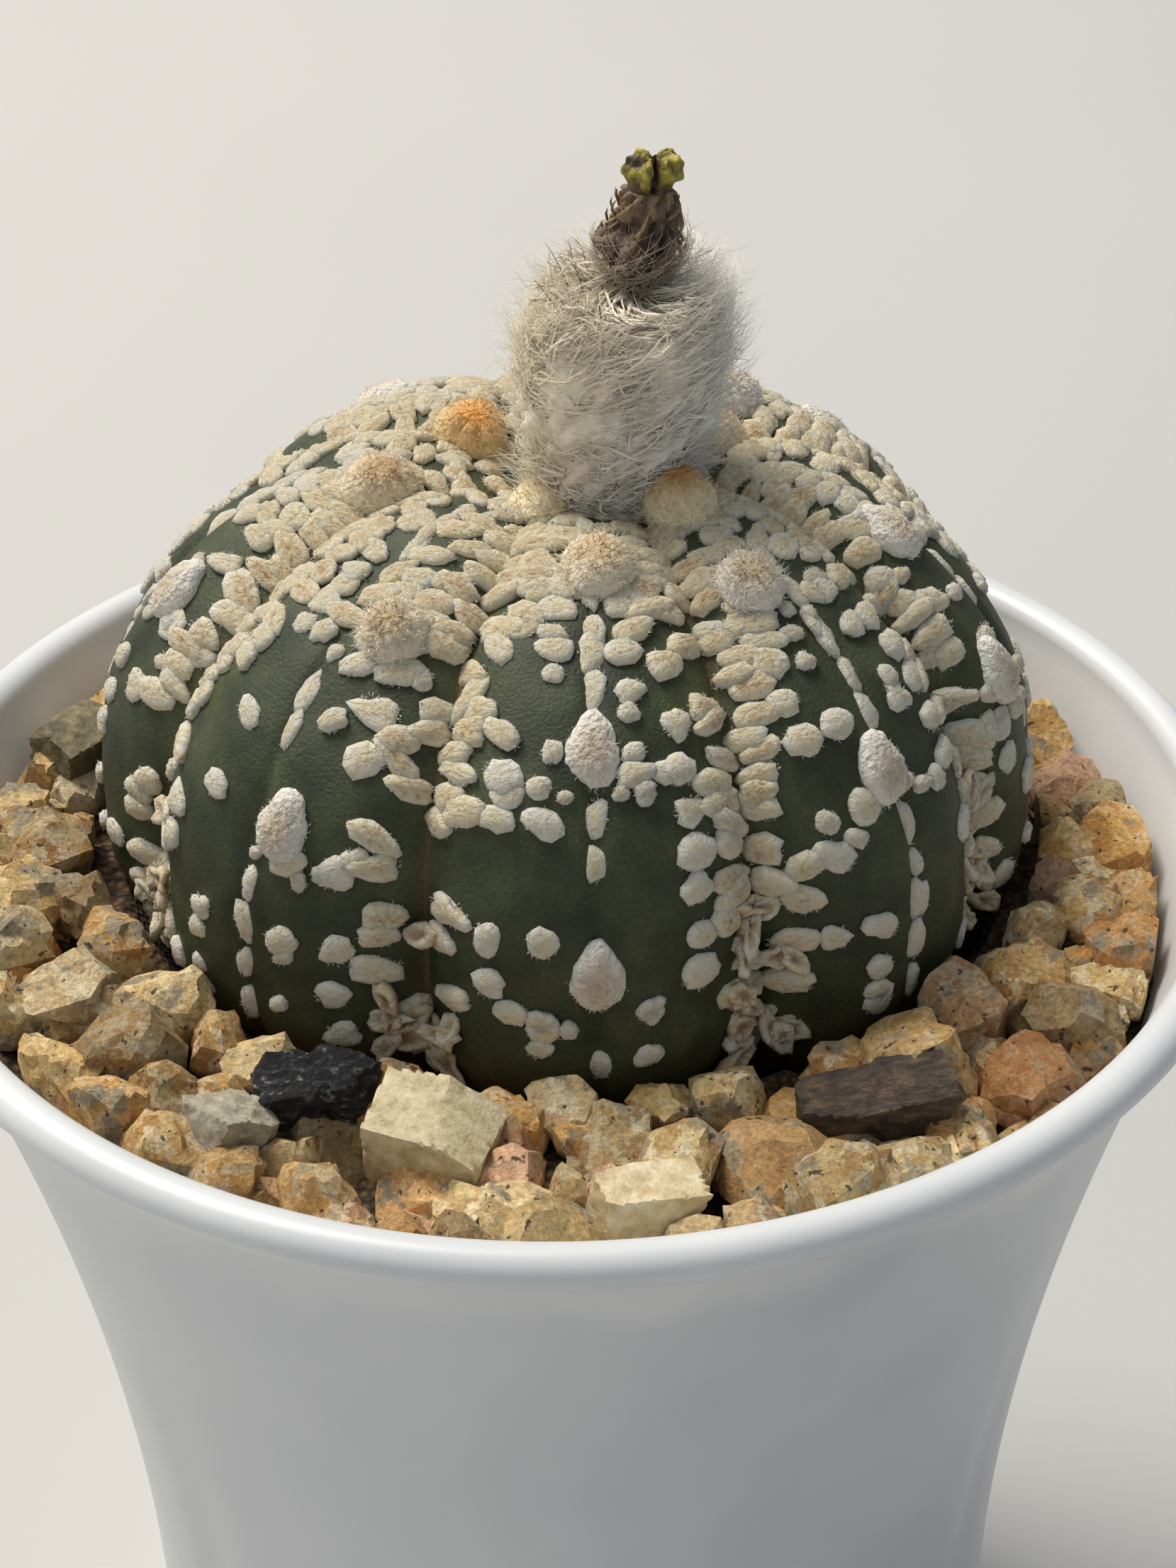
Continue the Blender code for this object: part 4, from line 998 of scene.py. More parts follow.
def fleck_needles(draw, place, size, turned, height):
    """Paths of the needles: (fleck, needle, root and tip, xyz).

    A needle is rooted on its mound at a random angle and share of the outline, and points away
    from the mound's middle and up by a random angle. The first RIM_NEEDLES stand round the rim
    and lie flatter.
    """
    shape = (len(size), NEEDLES)
    point, normal, side, down = (axis[:, None] for axis in place)
    rim = np.arange(NEEDLES) < RIM_NEEDLES
    angle = draw.uniform(0, TAU, shape)
    share = np.where(rim, draw.uniform(0.86, 1.02, shape), np.sqrt(draw.uniform(0.0, 0.8, shape)))
    cos, sin = np.cos(turned)[:, None], np.sin(turned)[:, None]
    across = size[:, :1] * np.cos(angle) * share
    along = size[:, 1:] * np.sin(angle) * share
    out = (cos * across - sin * along)[..., None] * side - (sin * across + cos * along)[..., None] * down
    dome = np.interp(share, (0.5, 0.9), (0.9, 0.6))
    lift = height[:, None] * np.where(rim, draw.uniform(-0.3, 0.6, shape), dome)
    root = point + out + lift[..., None] * normal
    rise = np.where(rim, draw.uniform(-0.1, 0.5, shape), draw.uniform(0.3, 1.4, shape))
    way = unit(unit(out) + normal * rise[..., None] + draw.normal(0, 0.3, (*shape, 3)))
    length = np.where(rim, draw.uniform(0.06, 0.24, shape), draw.uniform(0.08, 0.18, shape))[..., None] * MM
    return np.stack([root - way * 0.1 * MM, root + way * length], 2)


def make_pads(felt, wool):
    """Pads of wool down the ribs: the young ones by the crown are round mounds, the others have a
    point upwards, and curled hairs lie over them. Each goes from its middle's colour to its
    edge's over the rings."""
    rows = [(rib, *place, k) for rib, places in enumerate(RIB_PADS) for k, place in enumerate(places)]
    rib, across, turn, order = np.array(rows).T
    rib, order = rib.astype(int), order.astype(int)
    named = [PAD_COLOURS.get(key, PLAIN_PAD) for key in zip(rib, order)]
    colours = np.array([[linear(colour) for colour in pair] for pair in named])
    young = (order == 0) | (np.isin(rib, (1, 7)) & (order == 1))
    width = np.where(order == 0, CROWN_PAD_WIDTH, PAD_WIDTH * 1.08)
    width[young & (order == 1)] = SECOND_PAD_WIDTH
    place = skin_frame(rib, across, turn)
    size = np.stack([width / 2, width / 2 * np.where(young, 1.1, 1.2)], -1)
    height = PAD_HEIGHT * width / PAD_WIDTH * np.where(young, 1.25, 1.0) * np.where(turn < 0.3, 1.4, 1.0)
    spread = np.array([1.0, 1.0, 0.9, 0.72, 0.45, 0.2, 0.05])
    parts, tints, hair_parts, hair_tints = [], [], [], []
    for some, outline, hairs, reach, seed in (
            (young, rounded_square(2.0), 460, (0.3, 1.1), 52), (~young, teardrop, 260, (0.2, 0.5), 54)):
        count = some.sum()
        own = [axis[some] for axis in place]
        points = mounds(
            own, size[some], np.zeros(count), height[some], PAD_PROFILE, PAD_SIDES, outline, 0.05, 51)
        parts.append((points, mound_faces(PAD_PROFILE, PAD_SIDES, count)))
        middle, edge = colours[some, 0], colours[some, 1]
        ring = middle[:, None] + (edge - middle)[:, None] * spread[None, :, None]
        tint = np.concatenate([np.repeat(ring, PAD_SIDES, 1), edge[:, None], middle[:, None]], 1)
        tints.append(tint.reshape(-1, 4))
        points, faces, tint = pad_hairs(own, size[some], height[some], colours[some], hairs, reach, seed)
        hair_parts.append((points, faces))
        hair_tints.append(tint)
    make_piece("wool_pads", *joined(parts), felt, *ON_PLANT, tint=np.concatenate(tints))
    make_piece("pad_wool", *joined(hair_parts), wool, *ON_PLANT, tint=np.concatenate(hair_tints))


def pad_hairs(place, size, height, colours, hairs, reach, seed):
    """Curled hairs over a set of pads, as points, faces and colours.

    A hair starts at a random angle and share of its pad's outline, on the dome height
    * (1 - share ** 2.6), runs outwards and up by its length, and waves sideways by a sine.
    """
    draw = np.random.default_rng(seed)
    shape = (len(size), hairs)
    angle = draw.uniform(0, TAU, shape)
    share = np.sqrt(draw.uniform(0.0, 1.0, shape))
    point, normal, side, down = (axis[:, None] for axis in place)
    out = unit(np.cos(angle)[..., None] * side - np.sin(angle)[..., None] * down)
    cross = np.cross(np.broadcast_to(normal, out.shape), out)
    far = share * np.hypot(size[:, :1] * np.cos(angle), size[:, 1:] * np.sin(angle))
    lift = height[:, None] * (1 - share ** 2.6) - 0.12 * MM
    length = draw.uniform(*reach, shape)[..., None] * MM
    climb = draw.uniform(0.0, 0.8, shape)[..., None] * length
    bend = draw.normal(0, 0.35, shape)[..., None] * length
    phase, waves = draw.uniform(0, TAU, shape)[..., None], draw.uniform(3, 7, shape)[..., None]
    t = np.linspace(0, 1, PAD_HAIR_STEPS)
    wave = 0.16 * length * (np.sin(t * waves + phase) - np.sin(phase))
    paths = (point[:, :, None] + out[:, :, None] * (far[..., None] + length * 0.8 * t)[..., None]
             + normal[:, :, None] * (lift[..., None] + climb * t)[..., None]
             + cross[:, :, None] * (bend * t + wave)[..., None])
    points, faces = strands(paths.reshape(-1, PAD_HAIR_STEPS, 3), PAD_HAIR_THICKNESS, seed + 1)
    mix = np.clip(share * 1.3 - 0.15 + draw.normal(0, 0.12, share.shape), 0, 1)[..., None]
    tint = (colours[:, None, 0] * (1 - mix) + colours[:, None, 1] * mix) * draw.uniform(0.8, 1.2, mix.shape)
    return points, faces, per_point(tint.reshape(-1, 4), PAD_HAIR_STEPS)


def make_flakes(finish):
    """Dried flakes that fan out of the grooves near the ground: long mounds across the groove that
    face upwards, whose outer ends are tilted off the skin. A ripple of 0.1 mm crumples them, and
    they are paler at their torn rims and brown in the hollow of their middle and under them: that
    brown is partly their own colour and partly painted shade."""
    draw = np.random.default_rng(61)
    count = RIBS * FLAKES_EACH
    rib = np.repeat(np.arange(RIBS), FLAKES_EACH)
    from_right = np.where(draw.random(count) < 0.5, -1, 1)
    across = from_right * draw.uniform(0.78, 0.96, count)
    turn = 1.28 + 0.5 * np.sqrt(draw.uniform(0, 1, count))
    point, normal, side, down = skin_frame(rib, across, turn)
    tilt = draw.uniform(0.0, 0.8, count)[:, None]
    away = -from_right[:, None] * side
    facing = unit(normal - down * draw.uniform(0.0, 1.1, (count, 1)))
    along, up = unit(away + facing * tilt), unit(facing - away * tilt)
    place = (point + normal * draw.uniform(0.2, 0.9, (count, 1)) * MM, up, along, np.cross(up, along))
    size = np.stack([draw.uniform(1.1, 1.85, count), draw.uniform(0.5, 0.85, count)], -1) * MM
    turned, height = draw.normal(0, 0.7, count), draw.uniform(0.6, 1.0, count) * MM
    points = mounds(
        place, size, turned, height, FLAKE_PROFILE, FLAKE_SIDES, rounded_square(1.8), 0.3, 62)
    points = points + up[:, None] * (0.1 * MM * ripple(points, 0.7 * MM, 63))[..., None]
    # Painted shade: the underside and the hollow middle of each flake get a browner tone than its rim.
    rings = np.repeat((0.3, 0.05, 0.0, 0.3), FLAKE_SIDES)
    tone = draw.uniform(-0.08, 0.25, (count, 1)) + np.append(rings, (0.4, 0.5))
    ray = mound_rays(draw, count, 4, FLAKE_SIDES)
    make_piece("dried_flakes", points, mound_faces(FLAKE_PROFILE, FLAKE_SIDES, count), finish, *ON_PLANT,
               tone=tone.ravel(), ray=ray.reshape(-1, 3))


def make_seam(finish):
    """Dried seam down each groove: a lumpy bead along the groove's line, flat to the skin."""
    rib = np.arange(RIBS)[:, None] + np.zeros((1, SEAM_STEPS), int)
    turn = np.linspace(0.3, 1.8, SEAM_STEPS) + np.zeros((RIBS, 1))
    line = on_rib(rib, np.ones_like(turn), turn)
    way = unit(np.gradient(line, axis=1))
    side = unit(np.cross(way, unit(line - np.array(BODY_CENTRE))))
    radius = 0.07 * MM * (1 + 1.2 * ripple(line, 1.6 * MM, 71))
    radius = np.clip(radius, 0.03 * MM, 0.3 * MM) * np.sin(np.linspace(0.15, 3.0, SEAM_STEPS)) ** 0.3
    angle = ring_angles(SEAM_SIDES)[:, None]
    rings = line[:, :, None] + radius[:, :, None, None] * (
        np.cos(angle) * side[:, :, None] * 1.4 + np.sin(angle) * np.cross(way, side)[:, :, None])
    points = with_poles(rings, line[:, 0], line[:, -1])
    faces = repeated(capped_faces(SEAM_STEPS, SEAM_SIDES), RIBS, SEAM_STEPS * SEAM_SIDES + 2)
    make_piece("groove_seam", points, faces, finish, *ON_PLANT, tone=np.full(points.size // 3, 1.1))


# Grit

CHIP_GRID = (11, 16)
SMALL_GRID = (5, 8)
STONE_GRID = (36, 54)
SMALL_CHIPS = 380
SMALL_CHIP_GAP = 1.2 * MM
CRISP_CHIP, CRISP_STONE, CRISP_BED = 21, 32, 50
PRESSED = 2.4 * MM
BED_COLUMNS = 180
BED_TOP_ROWS = 26
BED_DROP = 1.6 * MM


def heap(x, y):
    """How far the grit rises over its level: it is heaped towards the left of the back."""
    along = x * math.sin(HEAP_BEARING) - y * math.cos(HEAP_BEARING)
    return HEAP_RISE * np.maximum(0, along) / RIM_RADIUS


def inner_radius(z):
    """Inner radius of the pot's wall."""
    return pot_radius(z) - WALL


def grit_places():
    """part.py's seeded places and sizes of the chips between the plant and the wall."""
    draw = random.Random(GRIT_SEED)
    wall = float(inner_radius(BED_TOP)) - POT_CLEARANCE
    places = []
    for _ in range(GRIT_TRIES):
        if len(places) == GRIT_COUNT:
            break
        angle = draw.uniform(0, TAU)
        reach = wall * math.sqrt(draw.uniform(NEAREST_SHARE, 1.0))
        radius = draw.uniform(*GRIT_SIZES)
        x, y = reach * math.sin(angle), -reach * math.cos(angle)
        dx = x - BODY_CENTRE[0]
        dy = y - BODY_CENTRE[1]
        beyond = math.hypot(dx, dy) * (1 - 1 / max(0.01, math.hypot(dx / BODY_WIDTH, dy / BODY_LENGTH)))
        room = min(beyond - GRIT_CLEARANCE, wall - reach)
        if room < GRIT_OVERHANG * radius:
            continue
        if all(math.hypot(x - px, y - py) > GRIT_SPACING * (radius + pr) for px, py, pr in places):
            places.append((x, y, radius))
    return places


def chip_corners(draw, centre, semi, spin):
    """Eight jittered corners of a block and two bumps on it, as in part.py: (10, xyz)."""
    shares = np.array([draw.uniform(*CHIP_CORNERS) for _ in range(24)]).reshape(8, 3)
    corners = np.array(list(itertools.product((-1, 1), repeat=3))) * shares * semi
    over, beside = (draw.uniform(-CHIP_BUMP_SHIFT, CHIP_BUMP_SHIFT) for _ in range(2))
    bumps = np.array([(over, 0, CHIP_BUMP), (CHIP_BUMP, beside, 0)]) * semi
    return np.concatenate([corners, bumps]) @ np.array(Euler(spin).to_matrix()).T + centre


def kept_clear(points):
    """Chip points pushed out of the plant's outline and pulled inside the wall, as in part.py."""
    x, y, z = np.moveaxis(points, -1, 0)
    dx, dy = x - BODY_CENTRE[0], y - BODY_CENTRE[1]
    share = np.hypot(dx / (BODY_WIDTH + GRIT_CLEARANCE), dy / (BODY_LENGTH + GRIT_CLEARANCE))
    push = np.where(share < 1, 1 / np.maximum(share, 0.2), 1)
    x, y = BODY_CENTRE[0] + dx * push, BODY_CENTRE[1] + dy * push
    most = inner_radius(np.minimum(z, BED_TOP)) * math.cos(math.pi / POT_SIDES) - POT_CLEARANCE
    pull = np.minimum(1, most / np.maximum(np.hypot(x, y), 1e-9))
    return np.stack([x * pull, y * pull, np.maximum(z, CHIP_LOWEST)], -1)


def ball_ways(rows, columns):
    """Directions on a globe's grid, row by row from south to north, then its two poles."""
    height = (np.arange(rows) + 1) / (rows + 1) * math.pi - math.pi / 2
    angle = ring_angles(columns)
    around = np.stack([np.cos(angle), np.sin(angle)], -1)
    level = np.broadcast_to(np.sin(height)[:, None, None], (rows, columns, 1))
    ways = np.concatenate([np.cos(height)[:, None, None] * around, level], -1)
    return np.concatenate([ways.reshape(-1, 3), [(0, 0, -1), (0, 0, 1)]])


def random_turns(draw, count):
    """Random rotation matrices: each from three orthogonal unit vectors."""
    first = unit(draw.normal(size=(count, 3)))
    second = unit(np.cross(first, draw.normal(size=(count, 3))))
    return np.stack([first, second, np.cross(first, second)], -1)


def broken_stones(corners, grid, flats, rough, seed, own_ways=None, longest=1.12):
    """Stones with flat broken faces and crisp edges, as points (stone, grid point, xyz).

    Each flat face of a stone touches the hull of its corners: its distance h is the farthest
    corner along its direction n, from a golden spiral, jittered and turned for each stone. In
    direction d the surface lies at 1 / max(n . d / h), and corners over longest times the mean
    distance are blunted. A direction of the grid that is close to the edge of two faces, where
    (n1 / h1 - n2 / h2) . d is 0, is moved onto it, and one close to a third face onto their
    corner. Ripples of depth rough break the faces up.
    """
    count = len(corners)
    draw = np.random.default_rng(seed)
    middle = corners.mean(1)
    order = np.arange(flats) + 0.5
    polar, round_ = np.arccos(1 - 2 * order / flats), order * math.pi * (1 + math.sqrt(5))
    spiral = np.stack([np.sin(polar) * np.cos(round_), np.sin(polar) * np.sin(round_), np.cos(polar)], -1)
    ways = unit(spiral + draw.normal(0, 0.26, (count, flats, 3))) @ random_turns(draw, count)
    if own_ways is not None:
        ways = np.concatenate([ways, own_ways], 1)
    far = np.einsum("sfx,scx->sfc", ways, corners - middle[:, None]).max(-1)
    slope = ways / far[..., None]
    d = ball_ways(*grid) @ random_turns(draw, count)
    snap = 0.5 * math.pi / grid[0]

    def steepest(*places):
        rank = np.argsort(np.einsum("sfx,sgx->sgf", slope, d), -1)
        return [slope[np.arange(count)[:, None], rank[..., -place]] for place in places]

    first, second = steepest(1, 2)
    edge = unit(first - second)
    gap = dot(d, edge)
    near = np.abs(gap) < snap
    d = unit(d - np.where(near, gap, 0) * edge)
    first, second, third = steepest(1, 2, 3)
    edge, other = unit(first - second), unit(first - third)
    along = unit(other - dot(other, edge) * edge)
    gap = dot(d, other) / np.maximum(dot(along, other), 0.2)
    d = unit(d - np.where(near & (np.abs(gap) < snap), gap, 0) * along)
    radius = 1 / np.einsum("sfx,sgx->sgf", slope, d).max(-1)
    usual = radius.mean(-1, keepdims=True)
    radius = np.minimum(radius, longest * usual + 0.45 * (radius - longest * usual)) * 0.96
    points = middle[:, None] + d * radius[..., None]
    waves = ripple(points, 1.8 * MM, seed + 1) + 0.5 * ripple(points, 0.9 * MM, seed + 2)
    return points + d * (rough * waves)[..., None]


GRIT_TINTS = (
    "#CDA468", "#DDC088", "#BE9154", "#A88558", "#E4CC9C", "#C4904E", "#9C8E72", "#BDA983", "#D2A976",
    "#B07A48", "#877355", "#EAD8AE", "#C9A08A", "#D8CBB0")


def grit_tints(draw, count, points_each):
    """A colour for each chip out of the granite's range, the same at all its points, and as its
    alpha how strongly the chip is patterned."""
    colours = np.array([linear(colour) for colour in GRIT_TINTS])
    picked = colours[draw.integers(0, len(colours), count)]
    picked[:, :3] *= draw.uniform(0.7, 1.25, (count, 1)) * (1.06, 1, 0.88)
    picked[:, 3] = draw.uniform(0.1, 0.65, count)
    return np.repeat(picked, points_each, 0)


def under_odd_stones(x, y, radius):
    """How far a chip is pressed down where a stone of another colour lies on it: PRESSED times
    twice one minus its distance from the stone's outline grown by the chip, at most once."""
    reach = min(
        math.hypot((x - place[0] * MM) / (half[0] * MM + 0.9 * radius),
                   (y - place[1] * MM) / (half[1] * MM + 0.9 * radius))
        for place, half, _, _ in ODD_STONES.values())
    return PRESSED * min(1, 2 * max(0, 1 - reach))


def make_grit(finish):
    """The chips of part.py as broken stones, from its draws, and smaller chips in the gaps."""
    draw = random.Random(GRIT_SEED + 1)
    corners = []
    for x, y, radius in grit_places():
        long_, wide = (radius * draw.uniform(*sizes) for sizes in (CHIP_LONG, CHIP_WIDE))
        tilts = [draw.uniform(-CHIP_TILT, CHIP_TILT) for _ in range(2)]
        spin = (*tilts, draw.uniform(0, TAU))
        centre = np.array((x, y, BED_TOP + heap(x, y) + draw.uniform(*CHIP_RISE) * radius))
        centre[2] -= under_odd_stones(x, y, radius)
        corners.append(chip_corners(draw, centre, np.array((long_, wide, radius * CHIP_TALL)), spin))
    draw = np.random.default_rng(81)
    put_chips("grit_stones", finish, kept_clear(np.array(corners)), CHIP_GRID, 16, 0.17 * MM, 82, draw)
    put_chips("small_grit", finish, small_chips(draw), SMALL_GRID, 9, 0.05 * MM, 83, draw)


def small_chips(draw):
    """Corners of small blocks at random places between the plant's outline and the wall, more of
    them outwards: (chip, corner, xyz)."""
    count = SMALL_CHIPS
    angle = draw.uniform(0, TAU, count)
    spread = np.sqrt(draw.uniform(0, 1, count))
    way = np.stack([np.sin(angle), -np.cos(angle)], -1)
    edge = np.array(BODY_CENTRE[:2]) + way * (np.array((BODY_WIDTH, BODY_LENGTH)) + SMALL_CHIP_GAP)
    flat = edge + (way * (inner_radius(BED_TOP) - SMALL_CHIP_GAP) - edge) * spread[:, None]
    size = draw.uniform(0.7, 1.5, count) * MM
    height = BED_TOP + heap(flat[:, 0], flat[:, 1]) + draw.uniform(-0.9, 0.5, count) * MM
    blocks = np.array(list(itertools.product((-1, 1), repeat=3)))
    shape = blocks * draw.uniform(0.5, 1.0, (count, 8, 3)) * size[:, None, None] * (1.15, 0.9, 0.85)
    return shape @ random_turns(draw, count) + np.concatenate([flat, height[:, None]], 1)[:, None]


def put_chips(name, finish, corners, grid, flats, rough, seed, draw):
    """Chips of granite with these corners as one piece, each in its own tint."""
    count, each = len(corners), grid[0] * grid[1] + 2
    points = kept_clear(broken_stones(corners, grid, flats, rough, seed))
    make_piece(name, points, repeated(capped_faces(*grid), count, each), finish, *IN_BED,
               crisp=CRISP_CHIP, tint=grit_tints(draw, count, each))


def make_bed(finish):
    """The bed that carries the grit: a ring whose section is a closed loop, from the plant's
    outline to the wall. Its top is lower than the chips and uneven by two ripples."""
    angle = ring_angles(BED_COLUMNS)
    share = np.concatenate([np.linspace(1, 0, BED_TOP_ROWS), [0.0, 0.35, 0.7, 1.0]])
    top = np.arange(len(share)) < BED_TOP_ROWS
    way = np.stack([np.sin(angle), -np.cos(angle)], -1)
    centre, half = np.array(BODY_CENTRE[:2]), np.array((BODY_WIDTH, BODY_LENGTH))
    inner, deep = centre + way * (half - 1.0 * MM), centre + way * (half * 0.86)
    outer, low_outer = (way * (inner_radius(z) - POT_CLEARANCE) for z in (BED_TOP, BED_BOTTOM))
    flat = np.where(top[:, None, None], inner + (outer - inner) * share[:, None, None],
                    deep + (low_outer - deep) * share[:, None, None])
    level = BED_TOP + heap(flat[..., 0], flat[..., 1]) - BED_DROP
    at_level = np.concatenate([flat, level[..., None]], -1)
    level = level + 0.35 * MM * ripple(at_level, 4 * MM, 91) + 0.2 * MM * ripple(at_level, 1.5 * MM, 92)
    height = np.where(top[:, None], level, BED_BOTTOM)
    loop = np.concatenate([flat, height[..., None]], -1)
    faces = grid_faces(len(share) + 1, BED_COLUMNS) % (len(share) * BED_COLUMNS)
    make_piece("grit_bed", loop, [faces], finish, *IN_BED, crisp=CRISP_BED)


# The stones of other colours: slot, stone and its colours, grain and depth of its broken face in mm,
# roughness, stretch of its grain and place in the noise, then its flat faces and their unevenness in mm
STONE_FINISHES = {
    "black_stone": ("black_stone", ("black_schist", (
        (0.38, "#0E0E10"), (0.52, "#232326"), (0.6, "#4A4A4E"), (0.66, "#B4B2AC")),
        0.7, 0.9, 0.45, (0.8, 1.2, 1.3), 0.1), 8, 0.24),
    "dark_stone": ("dark_stone", ("brown_ironstone", (
        (0.3, "#2A221C"), (0.5, "#4E4136"), (0.62, "#6E5A46"), (0.75, "#8A5A3A")),
        1.0, 0.7, 0.65, (0.6, 1.2, 1.2), 0.2), 8, 0.16),
    "pale_block": ("pale_stone", ("pale_sandstone", (
        (0.3, "#A3926A"), (0.5, "#CFC09A"), (0.7, "#E2D8B8")), 1.0, 0.25, 0.75, (1, 1, 1), 0.3), 4, 0.05),
    "grey_stone": ("grey_stone", ("grey_tuff", (
        (0.3, "#7F7A68"), (0.5, "#AAA38E"), (0.7, "#C9C4B0")), 0.8, 0.25, 0.85, (1, 1, 1), 0.4), 8, 0.07),
    "olive_stone": ("olive_stone", ("olive_chert", (
        (0.3, "#4A4534"), (0.5, "#736A4E"), (0.7, "#A0946C")), 1.1, 0.3, 0.65, (1, 1, 1), 0.5), 8, 0.07),
    "quartz_stone": ("quartz", ("milky_quartz", (
        (0.3, "#B59E72"), (0.5, "#D6C49A"), (0.7, "#EDE3C6")), 1.2, 0.2, 0.35, (1, 1, 1), 0.6), 6, 0.05),
}


def make_odd_stones():
    """The stones of other colours: broken stones from part.py's corners, on a finer grid, with
    flat faces square to the block so that it keeps its edges."""
    for name, (place, half, spin, seed) in ODD_STONES.items():
        x, y, rise = (p * MM for p in place)
        centre = np.array((x, y, BED_TOP + heap(x, y) + rise))
        corners = chip_corners(random.Random(seed), centre, np.array(half) * MM, spin)[None]
        square = np.concatenate([np.eye(3), -np.eye(3)]) @ np.array(Euler(spin).to_matrix()).T
        draw = np.random.default_rng(seed)
        square = unit(square + draw.normal(0, 0.08, square.shape))[None]
        slot, stone, flats, rough = STONE_FINISHES[name]
        points = broken_stones(corners, STONE_GRID, flats, rough * MM, 100 + seed, square, 2)
        make_piece(name + "_broken", points, capped_faces(*STONE_GRID), broken_stone(*stone), slot, name,
                   crisp=CRISP_STONE)


# The spent flower

def flower_axis(z):
    """Centre of the flower's parts at a height: it leans to the right as it rises."""
    share = np.maximum(0, z - POT_HEIGHT - FLOWER_FOOT_RISE) / (FLOWER_TOP_RISE - FLOWER_FOOT_RISE)
    x = FLOWER_FOOT[0] + FLOWER_LEAN[0] * share ** LEAN_POWER
    return np.stack(np.broadcast_arrays(x, FLOWER_FOOT[1] + FLOWER_LEAN[1] * share), -1)


def over_rim(profile):
    """Heights and radii in metres of a profile given in mm over the rim."""
    radii, rises = np.array(profile).T * MM
    return POT_HEIGHT + rises, radii


def round_flower(angle, z, radius):
    """Points at a radius and angle round the flower's leaning axis."""
    flat = flower_axis(z) + np.stack([radius * np.sin(angle), -radius * np.cos(angle)], -1)
    return np.concatenate([flat, np.broadcast_to(z, flat.shape[:-1])[..., None]], -1)


def flower_poles(*heights):
    """Points on the flower's axis, one array for each height."""
    return [round_flower(np.zeros(1), height + np.zeros(1), np.zeros(1)) for height in heights]


def flower_grid(heights, rows, columns):
    """Height and angle at each point of a grid round the flower, from the lowest of the heights
    to the highest."""
    z = np.linspace(heights[0], heights[-1], rows)[:, None] + np.zeros((1, columns))
    return z, ring_angles(columns) + np.zeros((rows, 1))


def one_tint(points, hex_colour):
    """The same colour for every point."""
    return np.tile(linear(hex_colour), (points.size // 3, 1))


# Wool: radius and rise in mm of the solid core, and of the hairs that lie on it
WOOL_CORE = (
    (3.9, 18.8), (4.7, 20.4), (5.4, 22.9), (6.0, 25.4), (6.3, 28.4), (6.0, 30.4), (5.0, 31.9), (3.2, 32.8),
    (1.6, 33.2))
WOOL_LAY = (
    (4.3, 18.8), (5.1, 20.4), (5.7, 22.9), (6.1, 25.4), (6.4, 28.4), (6.4, 31.0), (6.2, 33.2), (5.4, 35.4),
    (4.4, 36.8))
WOOL_CREAM, WOOL_WHITE, WOOL_DARK = "#FFF6E2", "#FFFEFA", "#EAD9BA"
CORE_GRID = (72, 96)
# Locks and hairs: hairs, locks, thickness in mm, spread in a lock, lift of a lock in mm, seed, steps
# of a path, and whether they are flat bands
WOOL_HAIRS = {
    "wool_locks": (1400, 900, 0.36, 0.8, (-0.3, 0.4), 135, 8, True),
    "wool_hair": (2600, 460, 0.1, 0.9, (0.0, 1.0), 131, 5, False),
    "wool_hair_loose": (4200, 1500, 0.05, 1.6, (0.4, 2.6), 133, 5, False),
}
LOCK_HEIGHTS = (0.2, 14.6)
WOOL_TOP = 36.0
WOOL_TOP_FRONT_DROP = 2.6
BRISTLES = 84
BRISTLE_BROWN = "#7A5636"
STALK_GRID = (120, 120)
STALK_FOLDS = 2.5
# Knobs on the stalk's left: size, angle and rise of the middle, and half widths round and up
STALK_KNOBS = (
    (0.36, 0.2, 3.5, 0.4, 0.7), (0.34, 0.1, 6.5, 0.36, 0.6), (0.22, 2.4, 5.0, 0.5, 0.9),
    (0.2, 1.3, 6.6, 0.4, 0.6), (0.16, 1.9, 3.4, 0.4, 0.7), (0.14, 1.0, 8.6, 0.5, 0.4))
KNOB_BEARING = math.radians(268)
PETAL_STRIPS = 56
STALK_WISPS = 900
WISP_GREY = "#CDBFA8"
STRAND_STEPS = 7
TIP_SECTION = (
    (1.4, 39.5), (1.4, 40.0), (1.4, 40.4), (1.55, 40.7), (1.7, 41.05), (1.74, 41.45), (1.6, 41.9),
    (1.25, 42.15), (0.7, 42.2), (0.3, 42.15))
TIP_GRID = (44, 110)
TIP_POLES = (39.7, 42.2)
TIP_MIDDLE = POT_HEIGHT + 41 * MM


def wool_tint(angle, z, depth):
    """Colour of the wool: cream at the upper left, on the side the light comes from, as painted
    warm light, and white at the lower right; browner as depth grows, and patchy by a ripple."""
    heights, _ = over_rim(WOOL_CORE)
    rise = (z - heights[0]) / (heights[-1] - heights[0])
    # Painted warm light: the upper left, towards the window light, is tinted cream.
    left = smooth_step(np.sin(angle) * -0.8 + rise - 0.35, -0.6, 0.7)[..., None]
    colour = np.array(linear(WOOL_WHITE)) * (1 - left) + np.array(linear(WOOL_CREAM)) * left
    patch = ripple(round_flower(angle, z, 6 * MM), 2.6 * MM, 121)
    dark = np.clip(depth + 0.12 * patch, 0, 1)[..., None]
    return colour * (1 - dark) + np.array(linear(WOOL_DARK)) * dark


